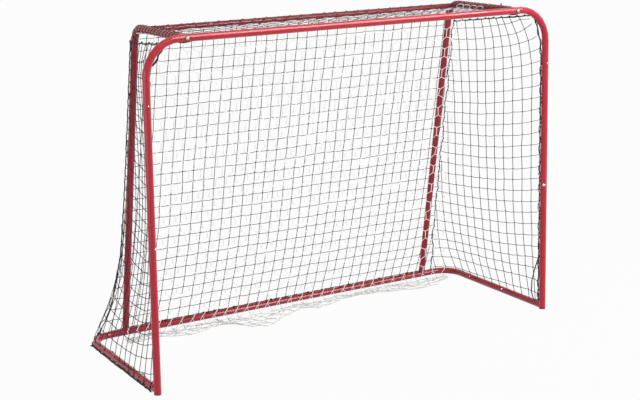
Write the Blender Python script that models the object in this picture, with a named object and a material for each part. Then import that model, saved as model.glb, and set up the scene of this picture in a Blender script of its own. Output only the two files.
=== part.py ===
"""Knock-down floorball goal: steel tubes pushed together, bolted at the crossbar and held by spring
buttons, with black goal nets and a white drop net. Metres, +Z up, the mouth faces -Y."""

import math

import bmesh
import bpy
from mathutils import Matrix, Vector

# Mouth and depth, as the game's goal is measured
MOUTH_WIDTH = 1.60
MOUTH_HEIGHT = 1.15
FLOOR_DEPTH = 0.60
TOP_DEPTH = 0.40

# Steel tube and its push fits
TUBE_DIAMETER = 0.025
TUBE_WALL = 0.00125
FIT_GAP = 0.0003
LONG_SPIGOT = 0.05
SHORT_SPIGOT = 0.03
NECK_START = 0.003
NECK_END = 0.008

# Mouth frame
TOP_CORNER_RADIUS = 0.12
TOP_CORNER_DROP = 0.2165
CORNER_REACH = 0.154
FOOT_HEIGHT = 0.208

# Foot cap
CAP_FLANGE = 0.003
CAP_PLUG = 0.018

# Base frame
BASE_CORNER_RADIUS = 0.08
RAIL_LENGTH = 0.43
BASE_END = 0.0155
CANE_FOOT = 0.045

# Canes: an arm, a bend and an upright on each side
CANE_TO_SEAM = 0.0115
CANE_RADIUS = 0.06
CANE_LEG = 0.055
TOP_BAR_STUB = 0.045
PEG_RADIUS = 0.0025
PEG_HEIGHT = 0.009
PEG_FROM_CROSSBAR = 0.0725

# Crossbar bolts, with a threaded plug in each arm
BOLT_RADIUS = 0.003
BOLT_HEAD_RADIUS = 0.0065
BOLT_HEAD_HEIGHT = 0.0034
WASHER_RADIUS = 0.0078
WASHER_THICKNESS = 0.001
ARM_PLUG = 0.024

# Net bolts through the posts and net screws in the rails
NET_BOLT_HEIGHT = 0.491
NET_BOLT_RADIUS = 0.0025
NET_BOLT_HEAD_RADIUS = 0.0054
NET_BOLT_HEAD_HEIGHT = 0.003
NET_BOLT_TURN = math.radians(36)
NUT_ACROSS = 0.008
NUT_HEIGHT = 0.004
BOLT_END = 0.0015
RAIL_SCREW_BACK = 0.232
RAIL_SCREW_RADIUS = 0.0018
RAIL_SCREW_HEAD_RADIUS = 0.0042
RAIL_SCREW_HEAD_HEIGHT = 0.0024
RAIL_SCREW_LENGTH = 0.010
RAIL_TURN = math.radians(30)

# Spring buttons and their leaf springs
BUTTON_TO_SEAM = 0.011
BUTTON_RADIUS = 0.0027
BUTTON_PROUD = 0.002
BUTTON_FLANGE_RADIUS = 0.0042
BUTTON_FLANGE = 0.0012
LEAF_THICKNESS = 0.0007
LEAF_WIDTH = 0.007
LEAF_LENGTH = 0.026
LEAF_FOLD_RADIUS = 0.002

# Ropes and nets
MOUTH_ROPE_RADIUS = 0.002
SEAM_ROPE_RADIUS = 0.002
DROP_ROPE_RADIUS = 0.0015
NET_STRAND = 0.004
NET_THICKNESS = 0.002
NET_CLEARANCE = 0.0035
BACK_NET_CELLS = (11, 8)
SIDE_NET_CELLS = (4, 9)
TOP_NET_CELLS = (9, 3)
DROP_NET_CELLS = (8, 5)
SIDE_NET_DRAW = 0.012
SIDE_NET_POWER = 3
TOP_NET_SAG = 0.006
DROP_NET_REACH = 0.02
DROP_NET_SPREAD = 0.07
DROP_NET_DEPTH = 0.05
DROP_NET_LAID = 0.13
DROP_NET_FOLD = 0.006
DROP_ROPE_FORWARD = 0.0385
SEAM_ROPE_START = {"left": 0.021, "right": 0.036}
SEAM_ROPE_FLARE = {"left": 0.09, "right": 0.029}
SEAM_ROPE_POWER = 3
SIDE_NET_DROP = 0.0725

# Faceting
TUBE_SIDES = 14
BEND_STEPS = 7
TURNED_SIDES = 12
SHARP_ANGLE = math.radians(35)

# Worked out from the values above
TUBE_RADIUS = TUBE_DIAMETER / 2
TUBE_BORE = TUBE_RADIUS - TUBE_WALL
SPIGOT_RADIUS = TUBE_BORE - FIT_GAP
SPIGOT_BORE = SPIGOT_RADIUS - TUBE_WALL
FLAT = math.cos(math.pi / TUBE_SIDES)
POST_X = MOUTH_WIDTH / 2 + TUBE_RADIUS
CROSSBAR_Z = MOUTH_HEIGHT + TUBE_RADIUS
SEAM_X = POST_X - CORNER_REACH
CANE_X = SEAM_X + CANE_TO_SEAM
BASE_SEAM_X = CANE_X - BASE_END
UPPER_SEAM_Z = CROSSBAR_Z - TOP_CORNER_DROP
FOOT_Z = CAP_FLANGE + FIT_GAP
CANE_RUN = Vector((0, TOP_DEPTH - FLOOR_DEPTH, CROSSBAR_Z - TUBE_RADIUS))
CANE_UP = CANE_RUN.normalized()
CANE_SETBACK = CANE_RADIUS * math.tan((math.pi / 2 - math.atan2(-CANE_UP.y, CANE_UP.z)) / 2)
CANE_SEAM = CANE_RUN.length - CANE_SETBACK - CANE_LEG
BOLT_SEAT = TUBE_RADIUS + 2 * FIT_GAP + WASHER_THICKNESS
FRONT = -(BOLT_SEAT + BOLT_HEAD_HEIGHT)
NET_PLANE = TUBE_RADIUS / CANE_UP.z + NET_CLEARANCE
NET_LOW = TUBE_DIAMETER + NET_CLEARANCE + NET_STRAND / 2
BACK = FLOOR_DEPTH + NET_PLANE + SEAM_ROPE_RADIUS
MOUTH_Y = -(FRONT + BACK) / 2
SIDES = (("left", -1), ("right", 1))


def clear_scene():
    for old in list(bpy.data.objects):
        bpy.data.objects.remove(old, do_unlink=True)


def make_material(name, colour, roughness, metallic=0.0):
    material = bpy.data.materials.new(name)
    material.use_nodes = True
    shader = material.node_tree.nodes["Principled BSDF"]
    shader.inputs["Base Color"].default_value = (*colour, 1)
    shader.inputs["Roughness"].default_value = roughness
    shader.inputs["Metallic"].default_value = metallic
    return material


def make_goal_empty():
    """Everything hangs on this empty, which stands on the floor at the middle of the goal mouth."""
    empty = bpy.data.objects.new("goal_mouth", None)
    empty.location = (0, MOUTH_Y, 0)
    bpy.context.scene.collection.objects.link(empty)
    return empty


def place_object(name, data, place):
    obj = bpy.data.objects.new(name, data)
    obj.parent = bpy.data.objects["goal_mouth"]
    obj.matrix_basis = place
    bpy.context.scene.collection.objects.link(obj)
    return obj


def mesh_object(name, bm, material, place):
    """Turns bm, drawn in goal coordinates, into an object whose own axes are given by place."""
    bmesh.ops.transform(bm, matrix=place.inverted(), verts=bm.verts)
    bmesh.ops.recalc_face_normals(bm, faces=bm.faces)
    mesh = bpy.data.meshes.new(name)
    bm.to_mesh(mesh)
    bm.free()
    mesh.shade_smooth()
    mesh.set_sharp_from_angle(angle=SHARP_ANGLE)
    if material:
        mesh.materials.append(material)
    return place_object(name, mesh, place)


def aimed(base, outward, along):
    """A placement whose Z is outward and whose X is along."""
    z = Vector(outward).normalized()
    y = z.cross(Vector(along)).normalized()
    x = y.cross(z)
    turn = Matrix((x, y, z)).transposed().to_4x4()
    return Matrix.Translation(base) @ turn


def straight(start, end):
    """The stations of a straight run: each is a point and the direction there."""
    way = (end - start).normalized()
    return [(start, way), (end, way)]


def bent(start, corner, end, radius):
    """The stations of a run that turns once, on an arc of the given radius."""
    way_in = (corner - start).normalized()
    way_out = (end - corner).normalized()
    turn = way_in.angle(way_out)
    setback = radius * math.tan(turn / 2)
    first = corner - way_in * setback
    axis = way_in.cross(way_out).normalized()
    centre = first + axis.cross(way_in) * radius
    stations = [(start, way_in)]
    for step in range(BEND_STEPS + 1):
        spin = Matrix.Rotation(turn * step / BEND_STEPS, 3, axis)
        stations.append((centre + spin @ (first - centre), spin @ way_in))
    stations.append((end, way_out))
    return stations


def add_ring(bm, centre, way, lead, radius, sides=TUBE_SIDES):
    """A ring of vertices round way, the first of them towards lead."""
    lead = (lead - way * lead.dot(way)).normalized()
    other = way.cross(lead)
    verts = []
    for side in range(sides):
        angle = 2 * math.pi * side / sides
        offset = lead * math.cos(angle) + other * math.sin(angle)
        verts.append(bm.verts.new(centre + offset * radius))
    return verts


def join_rings(bm, rings):
    for one, two in zip(rings, rings[1:]):
        for side, vert in enumerate(one):
            after = (side + 1) % len(one)
            bm.faces.new((vert, one[after], two[after], two[side]))


def pipe(bm, stations, leads, spigots=(0, 0), blind=None):
    """A tube wall along the stations. A spigot is a reduced end of that length past the station, and
    blind gives how far the bore starts from a closed first end."""
    (start, way_in), (end, way_out) = stations[0], stations[-1]
    lead_in, lead_out = leads[0], leads[-1]
    outer = []
    inner = []
    if spigots[0]:
        tip = start - way_in * spigots[0]
        outer += [(tip, way_in, lead_in, SPIGOT_RADIUS), (start, way_in, lead_in, SPIGOT_RADIUS)]
        inner += [(tip, way_in, lead_in, SPIGOT_BORE)]
        inner += [(start + way_in * NECK_START, way_in, lead_in, SPIGOT_BORE)]
        inner += [(start + way_in * NECK_END, way_in, lead_in, TUBE_BORE)]
    else:
        inner += [(start + way_in * (blind or 0), way_in, lead_in, TUBE_BORE)]
    outer += [(point, way, lead, TUBE_RADIUS) for (point, way), lead in zip(stations, leads)]
    inner += [(point, way, lead, TUBE_BORE) for (point, way), lead in zip(stations[1:-1], leads[1:-1])]
    if spigots[1]:
        tip = end + way_out * spigots[1]
        outer += [(end, way_out, lead_out, SPIGOT_RADIUS), (tip, way_out, lead_out, SPIGOT_RADIUS)]
        inner += [(end - way_out * NECK_END, way_out, lead_out, TUBE_BORE)]
        inner += [(end - way_out * NECK_START, way_out, lead_out, SPIGOT_BORE)]
        inner += [(tip, way_out, lead_out, SPIGOT_BORE)]
    else:
        inner += [(end, way_out, lead_out, TUBE_BORE)]
    outer_rings = [add_ring(bm, *ring) for ring in outer]
    inner_rings = [add_ring(bm, *ring) for ring in inner]
    join_rings(bm, outer_rings)
    join_rings(bm, inner_rings)
    join_rings(bm, (outer_rings[-1], inner_rings[-1]))
    if blind is None:
        join_rings(bm, (outer_rings[0], inner_rings[0]))
    else:
        bm.faces.new(outer_rings[0])
        bm.faces.new(inner_rings[0])


def plain_rod(bm, stations, lead, radius, sides=TUBE_SIDES):
    """A solid rod along the stations."""
    rings = [add_ring(bm, point, way, lead, radius, sides) for point, way in stations]
    join_rings(bm, rings)
    bm.faces.new(rings[0])
    bm.faces.new(rings[-1])


def flat_leads(stations, normal, in_plane=False):
    """The direction of each ring's first vertex: the run's plane normal, or across it in the plane."""
    if in_plane:
        return [normal.cross(way) for _, way in stations]
    return [normal for _ in stations]


def tube_piece(name, stations, normal, material, in_plane=False, spigots=(0, 0)):
    bm = bmesh.new()
    pipe(bm, stations, flat_leads(stations, normal, in_plane), spigots)
    return mesh_object(name, bm, material, Matrix.Translation(stations[0][0]))


def helper(name, bm, place):
    """A hidden shape that cuts or joins."""
    obj = mesh_object(name, bm, None, place)
    obj.hide_render = True
    obj.display_type = "WIRE"
    return obj


def bar_helper(name, start, end, radius, lead, sides):
    """A solid round bar from start to end, as a hidden helper."""
    bm = bmesh.new()
    plain_rod(bm, straight(start, end), lead, radius, sides)
    return helper(name, bm, aimed(start, end - start, lead))


def combine(target, other, operation):
    modifier = target.modifiers.new(other.name, "BOOLEAN")
    modifier.operation = operation
    modifier.solver = "EXACT"
    modifier.object = other


def drill(targets, name, start, end, radius, lead):
    """Cuts one round hole from start to end through every target."""
    cutter = bar_helper(name, start, end, radius, lead, TURNED_SIDES)
    for target in targets:
        combine(target, cutter, "DIFFERENCE")


def turned(name, profile, material, place, closed=False, sides=TURNED_SIDES):
    """A piece turned about its own Z from (radius, height) points, placed by place."""
    bm = bmesh.new()
    verts = [bm.verts.new((radius, 0, height)) for radius, height in profile]
    edges = [bm.edges.new(pair) for pair in zip(verts, verts[1:])]
    if closed:
        edges.append(bm.edges.new((verts[-1], verts[0])))
    bmesh.ops.spin(
        bm, geom=verts + edges, cent=(0, 0, 0), axis=(0, 0, 1), angle=2 * math.pi, steps=sides, use_merge=True
    )
    bmesh.ops.remove_doubles(bm, verts=bm.verts, dist=1e-6)
    bmesh.ops.transform(bm, matrix=place, verts=bm.verts)
    return mesh_object(name, bm, material, place)


def domed_screw(name, head_radius, head_height, shank_radius, shank_length, material, place):
    """A low domed head above its seat at the origin, and a plain shank below it."""
    rim = head_height * 0.3
    profile = [(0, -shank_length), (shank_radius, -shank_length), (shank_radius, 0), (head_radius, 0)]
    for step in range(4):
        angle = math.pi / 2 * step / 4
        dome = (head_height - rim) * math.sin(angle)
        profile.append((head_radius * math.cos(angle), rim + dome))
    profile.append((0, head_height))
    return turned(name, profile, material, place)


def hex_nut(name, bore, material, place):
    bm = bmesh.new()
    flat = NUT_ACROSS / 2
    point = flat / math.cos(math.pi / 6)
    rings = []
    inside = (bore, bore)
    outside = (flat, point)
    for radii, height in ((inside, 0), (outside, 0), (outside, NUT_HEIGHT), (inside, NUT_HEIGHT)):
        ring = []
        for corner in range(12):
            angle = math.pi / 6 * corner
            radius = radii[corner % 2]
            ring.append(bm.verts.new((radius * math.cos(angle), radius * math.sin(angle), height)))
        rings.append(ring)
    join_rings(bm, rings + rings[:1])
    bmesh.ops.transform(bm, matrix=place, verts=bm.verts)
    return mesh_object(name, bm, material, place)


def make_mouth_frame(side_name, side, paint):
    """One half of the crossbar, its corner, its post and the foot with the side rail welded on."""
    up = Vector((0, 0, 1))
    across = Vector((side, 0, 0))
    deep = Vector((0, 1, 0))
    centre_end = Vector((side * FIT_GAP / 2, 0, CROSSBAR_Z))
    corner_end = Vector((side * (SEAM_X - FIT_GAP), 0, CROSSBAR_Z))
    centre_spigot = LONG_SPIGOT if side < 0 else 0
    crossbar = tube_piece(
        f"crossbar_{side_name}",
        straight(centre_end, corner_end),
        up,
        paint,
        spigots=(centre_spigot, SHORT_SPIGOT),
    )
    post_top = Vector((side * POST_X, 0, UPPER_SEAM_Z))
    corner = bent(
        post_top,
        Vector((side * POST_X, 0, CROSSBAR_Z)),
        Vector((side * SEAM_X, 0, CROSSBAR_Z)),
        TOP_CORNER_RADIUS,
    )
    top_corner = tube_piece(f"top_corner_{side_name}", corner, deep, paint, in_plane=True)
    post = tube_piece(
        f"post_{side_name}",
        straight(Vector((side * POST_X, 0, FOOT_HEIGHT + FIT_GAP)), post_top - up * FIT_GAP),
        across,
        paint,
        spigots=(LONG_SPIGOT, LONG_SPIGOT),
    )
    foot = make_foot_rail(side_name, side, paint)
    return crossbar, top_corner, post, foot


def make_foot_rail(side_name, side, paint):
    up = Vector((0, 0, 1))
    across = Vector((side, 0, 0))
    foot_point = Vector((side * POST_X, 0, FOOT_Z))
    stub_top = Vector((side * POST_X, 0, FOOT_HEIGHT))
    bm = bmesh.new()
    plain_rod(bm, straight(foot_point - up * CAP_FLANGE / 2, stub_top), across, TUBE_RADIUS)
    foot = mesh_object(f"foot_rail_{side_name}", bm, paint, Matrix.Translation(foot_point))
    rail_start = Vector((side * POST_X, 0, TUBE_RADIUS))
    rail = straight(rail_start, rail_start + Vector((0, RAIL_LENGTH - FIT_GAP, 0)))
    bm = bmesh.new()
    pipe(bm, rail, flat_leads(rail, up), (0, LONG_SPIGOT), blind=TUBE_RADIUS + TUBE_WALL)
    combine(foot, helper(f"rail_{side_name}", bm, Matrix.Translation(rail_start)), "UNION")
    bm = bmesh.new()
    plain_rod(bm, straight(foot_point - up * TUBE_RADIUS, stub_top + up * TUBE_RADIUS), across, TUBE_BORE)
    combine(foot, helper(f"stub_bore_{side_name}", bm, Matrix.Translation(foot_point)), "DIFFERENCE")
    bm = bmesh.new()
    plain_rod(bm, straight(foot_point - up * TUBE_RADIUS, foot_point), across, TUBE_RADIUS + FIT_GAP)
    combine(foot, helper(f"cap_seat_{side_name}", bm, Matrix.Translation(foot_point)), "DIFFERENCE")
    return foot


def make_foot_cap(side_name, side, material):
    plug = TUBE_BORE * FLAT - FIT_GAP
    place = aimed(Vector((side * POST_X, 0, 0)), (0, 0, 1), (side, 0, 0))
    profile = [
        (0, 0),
        (TUBE_RADIUS, 0),
        (TUBE_RADIUS, CAP_FLANGE),
        (plug, CAP_FLANGE),
        (plug, CAP_FLANGE + CAP_PLUG),
        (0, CAP_FLANGE + CAP_PLUG),
    ]
    return turned(f"foot_cap_{side_name}", profile, material, place, sides=TUBE_SIDES)


def cane_point(length):
    """A point of the upright's centre line, counted from the back bar's centre line."""
    return Vector((0, FLOOR_DEPTH, TUBE_RADIUS)) + CANE_UP * length


def make_base_frame(side_name, side, paint):
    """One base corner with the upright's socket welded on, and one half of the back bar."""
    up = Vector((0, 0, 1))
    start = Vector((side * POST_X, RAIL_LENGTH, TUBE_RADIUS))
    corner = Vector((side * POST_X, FLOOR_DEPTH, TUBE_RADIUS))
    end = Vector((side * BASE_SEAM_X, FLOOR_DEPTH, TUBE_RADIUS))
    turn = bent(start, corner, end, BASE_CORNER_RADIUS)
    base_corner = tube_piece(f"base_corner_{side_name}", turn, up, paint)
    across = Vector((side * CANE_X, 0, 0))
    socket = straight(cane_point(TUBE_WALL / 2) + across, cane_point(CANE_FOOT) + across)
    bm = bmesh.new()
    pipe(bm, socket, flat_leads(socket, Vector((side, 0, 0))), blind=TUBE_RADIUS + TUBE_WALL)
    weld = helper(f"cane_socket_{side_name}", bm, Matrix.Translation(socket[0][0]))
    hollow = bar_helper(
        f"base_bore_{side_name}",
        Vector((side * (BASE_SEAM_X - TUBE_RADIUS), FLOOR_DEPTH, TUBE_RADIUS)),
        Vector((side * (CANE_X + TUBE_DIAMETER), FLOOR_DEPTH, TUBE_RADIUS)),
        TUBE_BORE,
        up,
        TUBE_SIDES,
    )
    combine(base_corner, weld, "UNION")
    combine(base_corner, hollow, "DIFFERENCE")
    middle = Vector((side * FIT_GAP / 2, FLOOR_DEPTH, TUBE_RADIUS))
    spigot = LONG_SPIGOT if side < 0 else 0
    back_bar = tube_piece(
        f"back_bar_{side_name}",
        straight(middle, end - Vector((side * FIT_GAP, 0, 0))),
        up,
        paint,
        spigots=(spigot, LONG_SPIGOT),
    )
    return base_corner, back_bar


def top_bar_point():
    """The middle of the cane's bend, where the top bar's stub is welded."""
    corner = Vector((0, TOP_DEPTH, CROSSBAR_Z))
    run = bent(Vector((0, 0, CROSSBAR_Z)), corner, cane_point(CANE_SEAM), CANE_RADIUS)
    return run[1 + BEND_STEPS // 2][0]


def make_cane(side_name, side, paint):
    """One arm with its bend, the stub for the top bar and the net peg, then its upright and its half
    of the top bar."""
    across = Vector((side, 0, 0))
    shift = across * CANE_X
    corner = Vector((0, TOP_DEPTH, CROSSBAR_Z)) + shift
    run = bent(Vector((0, 0, CROSSBAR_Z)) + shift, corner, cane_point(CANE_SEAM) + shift, CANE_RADIUS)
    arm = tube_piece(f"rear_arm_{side_name}", run, across, paint)
    saddle = bar_helper(
        f"saddle_{side_name}",
        Vector((side * (CANE_X - TUBE_DIAMETER), 0, CROSSBAR_Z)),
        Vector((side * (CANE_X + TUBE_DIAMETER), 0, CROSSBAR_Z)),
        TUBE_RADIUS + FIT_GAP,
        Vector((0, 0, 1)),
        TUBE_SIDES,
    )
    combine(arm, saddle, "DIFFERENCE")
    hub = top_bar_point() + shift
    stub = straight(hub, hub - across * TOP_BAR_STUB)
    bm = bmesh.new()
    pipe(bm, stub, flat_leads(stub, Vector((0, 0, 1))), blind=TUBE_RADIUS + TUBE_WALL)
    combine(arm, helper(f"top_bar_stub_{side_name}", bm, Matrix.Translation(hub)), "UNION")
    bm = bmesh.new()
    plain_rod(bm, run[1:-1], across, TUBE_BORE)
    combine(arm, helper(f"bend_bore_{side_name}", bm, Matrix.Translation(hub)), "DIFFERENCE")
    peg_z = CROSSBAR_Z + TUBE_RADIUS - TUBE_WALL / 2
    peg_foot = Vector((side * CANE_X, TUBE_RADIUS + PEG_FROM_CROSSBAR, peg_z))
    peg_top = peg_foot + Vector((0, 0, PEG_HEIGHT + TUBE_WALL / 2))
    peg = bar_helper(f"net_peg_{side_name}", peg_foot, peg_top, PEG_RADIUS, across, TURNED_SIDES)
    combine(arm, peg, "UNION")
    upright = tube_piece(
        f"rear_upright_{side_name}",
        straight(cane_point(CANE_FOOT + FIT_GAP) + shift, cane_point(CANE_SEAM - FIT_GAP) + shift),
        across,
        paint,
        spigots=(CANE_FOOT - TUBE_RADIUS - TUBE_WALL - 2 * FIT_GAP, LONG_SPIGOT),
    )
    bar_start = Vector((side * FIT_GAP / 2, hub.y, hub.z))
    bar_end = hub - across * (TOP_BAR_STUB + FIT_GAP)
    centre_spigot = LONG_SPIGOT if side < 0 else 0
    top_bar = tube_piece(
        f"top_bar_{side_name}",
        straight(bar_start, bar_end),
        Vector((0, 0, 1)),
        paint,
        spigots=(centre_spigot, TOP_BAR_STUB - TUBE_RADIUS - TUBE_WALL - 2 * FIT_GAP),
    )
    return arm, upright, top_bar


def make_crossbar_bolt(side_name, side, tubes, bolt_metal, washer_metal):
    """The bolt goes in from the front, through the corner and the crossbar's spigot, into the arm."""
    outward = Vector((0, -1, 0))
    axis = Vector((side * CANE_X, 0, CROSSBAR_Z))
    along = Vector((side, 0, 0))
    reach = TUBE_RADIUS * 2
    bore = BOLT_RADIUS + FIT_GAP
    drill(tubes, f"bolt_hole_{side_name}", axis + outward * reach, axis - outward * reach, bore, along)
    shank = BOLT_SEAT + TUBE_RADIUS + ARM_PLUG
    place = aimed(axis + outward * BOLT_SEAT, outward, along)
    name = f"crossbar_bolt_{side_name}"
    domed_screw(name, BOLT_HEAD_RADIUS, BOLT_HEAD_HEIGHT, BOLT_RADIUS, shank, bolt_metal, place)
    profile = [(bore, 0), (WASHER_RADIUS, 0), (WASHER_RADIUS, WASHER_THICKNESS), (bore, WASHER_THICKNESS)]
    place = aimed(axis + outward * (TUBE_RADIUS + FIT_GAP), outward, along)
    turned(f"crossbar_washer_{side_name}", profile, washer_metal, place, closed=True)
    plug = TUBE_BORE * FLAT - FIT_GAP
    profile = [(bore, 0), (plug, 0), (plug, ARM_PLUG), (bore, ARM_PLUG)]
    place = aimed(axis - outward * (TUBE_RADIUS + FIT_GAP), -outward, along)
    turned(f"arm_plug_{side_name}", profile, washer_metal, place, closed=True)


def make_net_bolt(side_name, side, post, metal):
    """A domed bolt right through the post, turned from the front towards the mouth."""
    outward = Vector((-side * math.sin(NET_BOLT_TURN), -math.cos(NET_BOLT_TURN), 0))
    axis = Vector((side * POST_X, 0, NET_BOLT_HEIGHT))
    up = Vector((0, 0, 1))
    reach = TUBE_RADIUS * 2
    bore = NET_BOLT_RADIUS + FIT_GAP
    drill([post], f"net_bolt_hole_{side_name}", axis + outward * reach, axis - outward * reach, bore, up)
    seat = TUBE_RADIUS + FIT_GAP
    shank = 2 * seat + NUT_HEIGHT + BOLT_END
    domed_screw(
        f"net_bolt_{side_name}",
        NET_BOLT_HEAD_RADIUS,
        NET_BOLT_HEAD_HEIGHT,
        NET_BOLT_RADIUS,
        shank,
        metal,
        aimed(axis + outward * seat, outward, up),
    )
    hex_nut(f"net_nut_{side_name}", bore, metal, aimed(axis - outward * seat, -outward, up))


def rail_inward(side):
    """The direction across a side rail that faces the goal's inside, raised from the floor."""
    return Vector((-side * math.cos(RAIL_TURN), 0, math.sin(RAIL_TURN)))


def make_rail_screw(side_name, side, foot, metal):
    outward = rail_inward(side)
    axis = Vector((side * POST_X, RAIL_SCREW_BACK, TUBE_RADIUS))
    along = Vector((0, 1, 0))
    bore = RAIL_SCREW_RADIUS + FIT_GAP
    inner = axis + outward * TUBE_RADIUS / 2
    drill([foot], f"rail_screw_hole_{side_name}", inner, axis + outward * TUBE_DIAMETER, bore, along)
    domed_screw(
        f"rail_screw_{side_name}",
        RAIL_SCREW_HEAD_RADIUS,
        RAIL_SCREW_HEAD_HEIGHT,
        RAIL_SCREW_RADIUS,
        RAIL_SCREW_LENGTH,
        metal,
        aimed(axis + outward * (TUBE_RADIUS + FIT_GAP), outward, along),
    )


def button_seat():
    """How far the button's flange stands from the tube's axis, under the spigot's round wall."""
    return math.sqrt((SPIGOT_BORE * FLAT) ** 2 - BUTTON_FLANGE_RADIUS**2) - FIT_GAP


def leaf_outline():
    """The edge of the folded leaf spring, in (along, outward), as its middle line offset both ways."""
    near = button_seat() - BUTTON_FLANGE - FIT_GAP - LEAF_THICKNESS / 2
    far = -(math.sqrt((SPIGOT_BORE * FLAT) ** 2 - (LEAF_WIDTH / 2) ** 2) - FIT_GAP - LEAF_THICKNESS / 2)
    fold = LEAF_LENGTH - LEAF_FOLD_RADIUS
    middle = [Vector((-BUTTON_FLANGE_RADIUS, near)), Vector((BUTTON_FLANGE_RADIUS, near))]
    for step in range(5):
        angle = math.pi / 2 - math.pi * step / 4
        middle.append(Vector((fold + LEAF_FOLD_RADIUS * math.cos(angle), LEAF_FOLD_RADIUS * math.sin(angle))))
    middle.append(Vector((-BUTTON_FLANGE_RADIUS, far)))
    left = []
    right = []
    for place, point in enumerate(middle):
        before = middle[max(place - 1, 0)]
        after = middle[min(place + 1, len(middle) - 1)]
        way = ((point - before).normalized() + (after - point).normalized()).normalized()
        across = Vector((-way.y, way.x)) * LEAF_THICKNESS / 2
        left.append(point + across)
        right.append(point - across)
    return left + right[::-1]


def make_button(label, side_name, seam_point, into_spigot, outward, tubes, metal, spring_metal):
    """A spring button near the seam, its leaf spring in the spigot, and the holes it stands in."""
    axis = seam_point + into_spigot * BUTTON_TO_SEAM
    drill(
        tubes,
        f"button_hole_{label}_{side_name}",
        axis + outward * TUBE_RADIUS / 3,
        axis + outward * TUBE_DIAMETER,
        BUTTON_RADIUS + FIT_GAP,
        into_spigot,
    )
    seat = button_seat()
    top = TUBE_RADIUS + BUTTON_PROUD
    shoulder = top - BUTTON_RADIUS * 0.6
    profile = [
        (0, seat - BUTTON_FLANGE),
        (BUTTON_FLANGE_RADIUS, seat - BUTTON_FLANGE),
        (BUTTON_FLANGE_RADIUS, seat),
        (BUTTON_RADIUS, seat),
    ]
    for step in range(3):
        angle = math.pi / 2 * step / 3
        rise = (top - shoulder) * math.sin(angle)
        profile.append((BUTTON_RADIUS * math.cos(angle), shoulder + rise))
    profile.append((0, top))
    place = aimed(axis, outward, into_spigot)
    turned(f"button_{label}_{side_name}", profile, metal, place)
    bm = bmesh.new()
    outline = [bm.verts.new((point.x, -LEAF_WIDTH / 2, point.y)) for point in leaf_outline()]
    face = bm.faces.new(outline)
    grown = bmesh.ops.extrude_face_region(bm, geom=[face])["geom"]
    moved = [item for item in grown if isinstance(item, bmesh.types.BMVert)]
    bmesh.ops.translate(bm, verts=moved, vec=(0, LEAF_WIDTH, 0))
    bmesh.ops.transform(bm, matrix=place, verts=bm.verts)
    mesh_object(f"leaf_spring_{label}_{side_name}", bm, spring_metal, place)


def rope(name, points, radius, material):
    curve = bpy.data.curves.new(name, "CURVE")
    curve.dimensions = "3D"
    curve.bevel_depth = radius
    curve.bevel_resolution = 2
    curve.use_fill_caps = True
    spline = curve.splines.new("POLY")
    spline.points.add(len(points) - 1)
    for point, place in zip(spline.points, points):
        point.co = (*(place - points[0]), 1)
    curve.materials.append(material)
    return place_object(name, curve, Matrix.Translation(points[0]))


def mouth_rope_points():
    """Up behind one post, round inside its corner, along under the crossbar and down the other post."""
    reach = TUBE_RADIUS + MOUTH_ROPE_RADIUS + 3 * FIT_GAP
    behind = math.radians(45)
    below = math.radians(15)
    half = []
    post_steps = 9
    low = TUBE_DIAMETER + 2 * MOUTH_ROPE_RADIUS
    bend_z = CROSSBAR_Z - TOP_CORNER_RADIUS
    for step in range(post_steps):
        height = low + (bend_z - low) * step / post_steps
        half.append(Vector((POST_X - reach * math.cos(behind), reach * math.sin(behind), height)))
    for step in range(BEND_STEPS + 1):
        share = step / BEND_STEPS
        turn = behind + (below - behind) * share
        radius = TOP_CORNER_RADIUS - reach * math.cos(turn)
        angle = math.pi / 2 * share
        x = POST_X - TOP_CORNER_RADIUS + radius * math.cos(angle)
        z = bend_z + radius * math.sin(angle)
        half.append(Vector((x, reach * math.sin(turn), z)))
    bend_x = POST_X - TOP_CORNER_RADIUS
    bar_steps = 4
    for step in range(1, bar_steps):
        x = bend_x * (1 - step / bar_steps)
        half.append(Vector((x, reach * math.sin(below), CROSSBAR_Z - reach * math.cos(below))))
    middle = Vector((0, reach * math.sin(below), CROSSBAR_Z - reach * math.cos(below)))
    other = [Vector((-point.x, point.y, point.z)) for point in half]
    return other + [middle] + half[::-1]


def back_net_y(x, height):
    """The back net hangs in a plane behind the uprights, and goes round the base corners."""
    plane = FLOOR_DEPTH + NET_PLANE + CANE_UP.y / CANE_UP.z * (height - TUBE_RADIUS)
    past_bend = abs(x) - (POST_X - BASE_CORNER_RADIUS)
    if past_bend <= 0:
        return plane
    round_corner = BASE_CORNER_RADIUS + NET_PLANE
    return min(plane, FLOOR_DEPTH - BASE_CORNER_RADIUS + math.sqrt(max(round_corner**2 - past_bend**2, 0)))


def seam_point(side_name, side, height):
    """The seam rope stands beside the upright at the top and flares out towards the base corner."""
    share = (CROSSBAR_Z - height) / CROSSBAR_Z
    flare = SEAM_ROPE_FLARE[side_name] * share**SEAM_ROPE_POWER
    x = CANE_X + SEAM_ROPE_START[side_name] + flare
    return Vector((side * x, back_net_y(x, height), height))


def seam_rope_points(side_name, side):
    top = CROSSBAR_Z - SIDE_NET_DROP
    low = TUBE_RADIUS
    steps = 15
    return [seam_point(side_name, side, top + (low - top) * step / steps) for step in range(steps + 1)]


def surface_frame(surface, u, v):
    """The point of a surface and its unit normal there."""
    small = 1e-4
    point = surface(u, v)
    along = surface(u + small, v) - surface(u - small, v)
    up = surface(u, v + small) - surface(u, v - small)
    return point, along.cross(up).normalized()


def strand_edges(cells, share):
    """Where each strand begins and ends along one side of a net, as shares of that side."""
    half = share / 2
    edges = []
    for line in range(cells + 1):
        centre = half + (1 - share) * line / cells
        edges += [centre - half, centre + half]
    return edges


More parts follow.
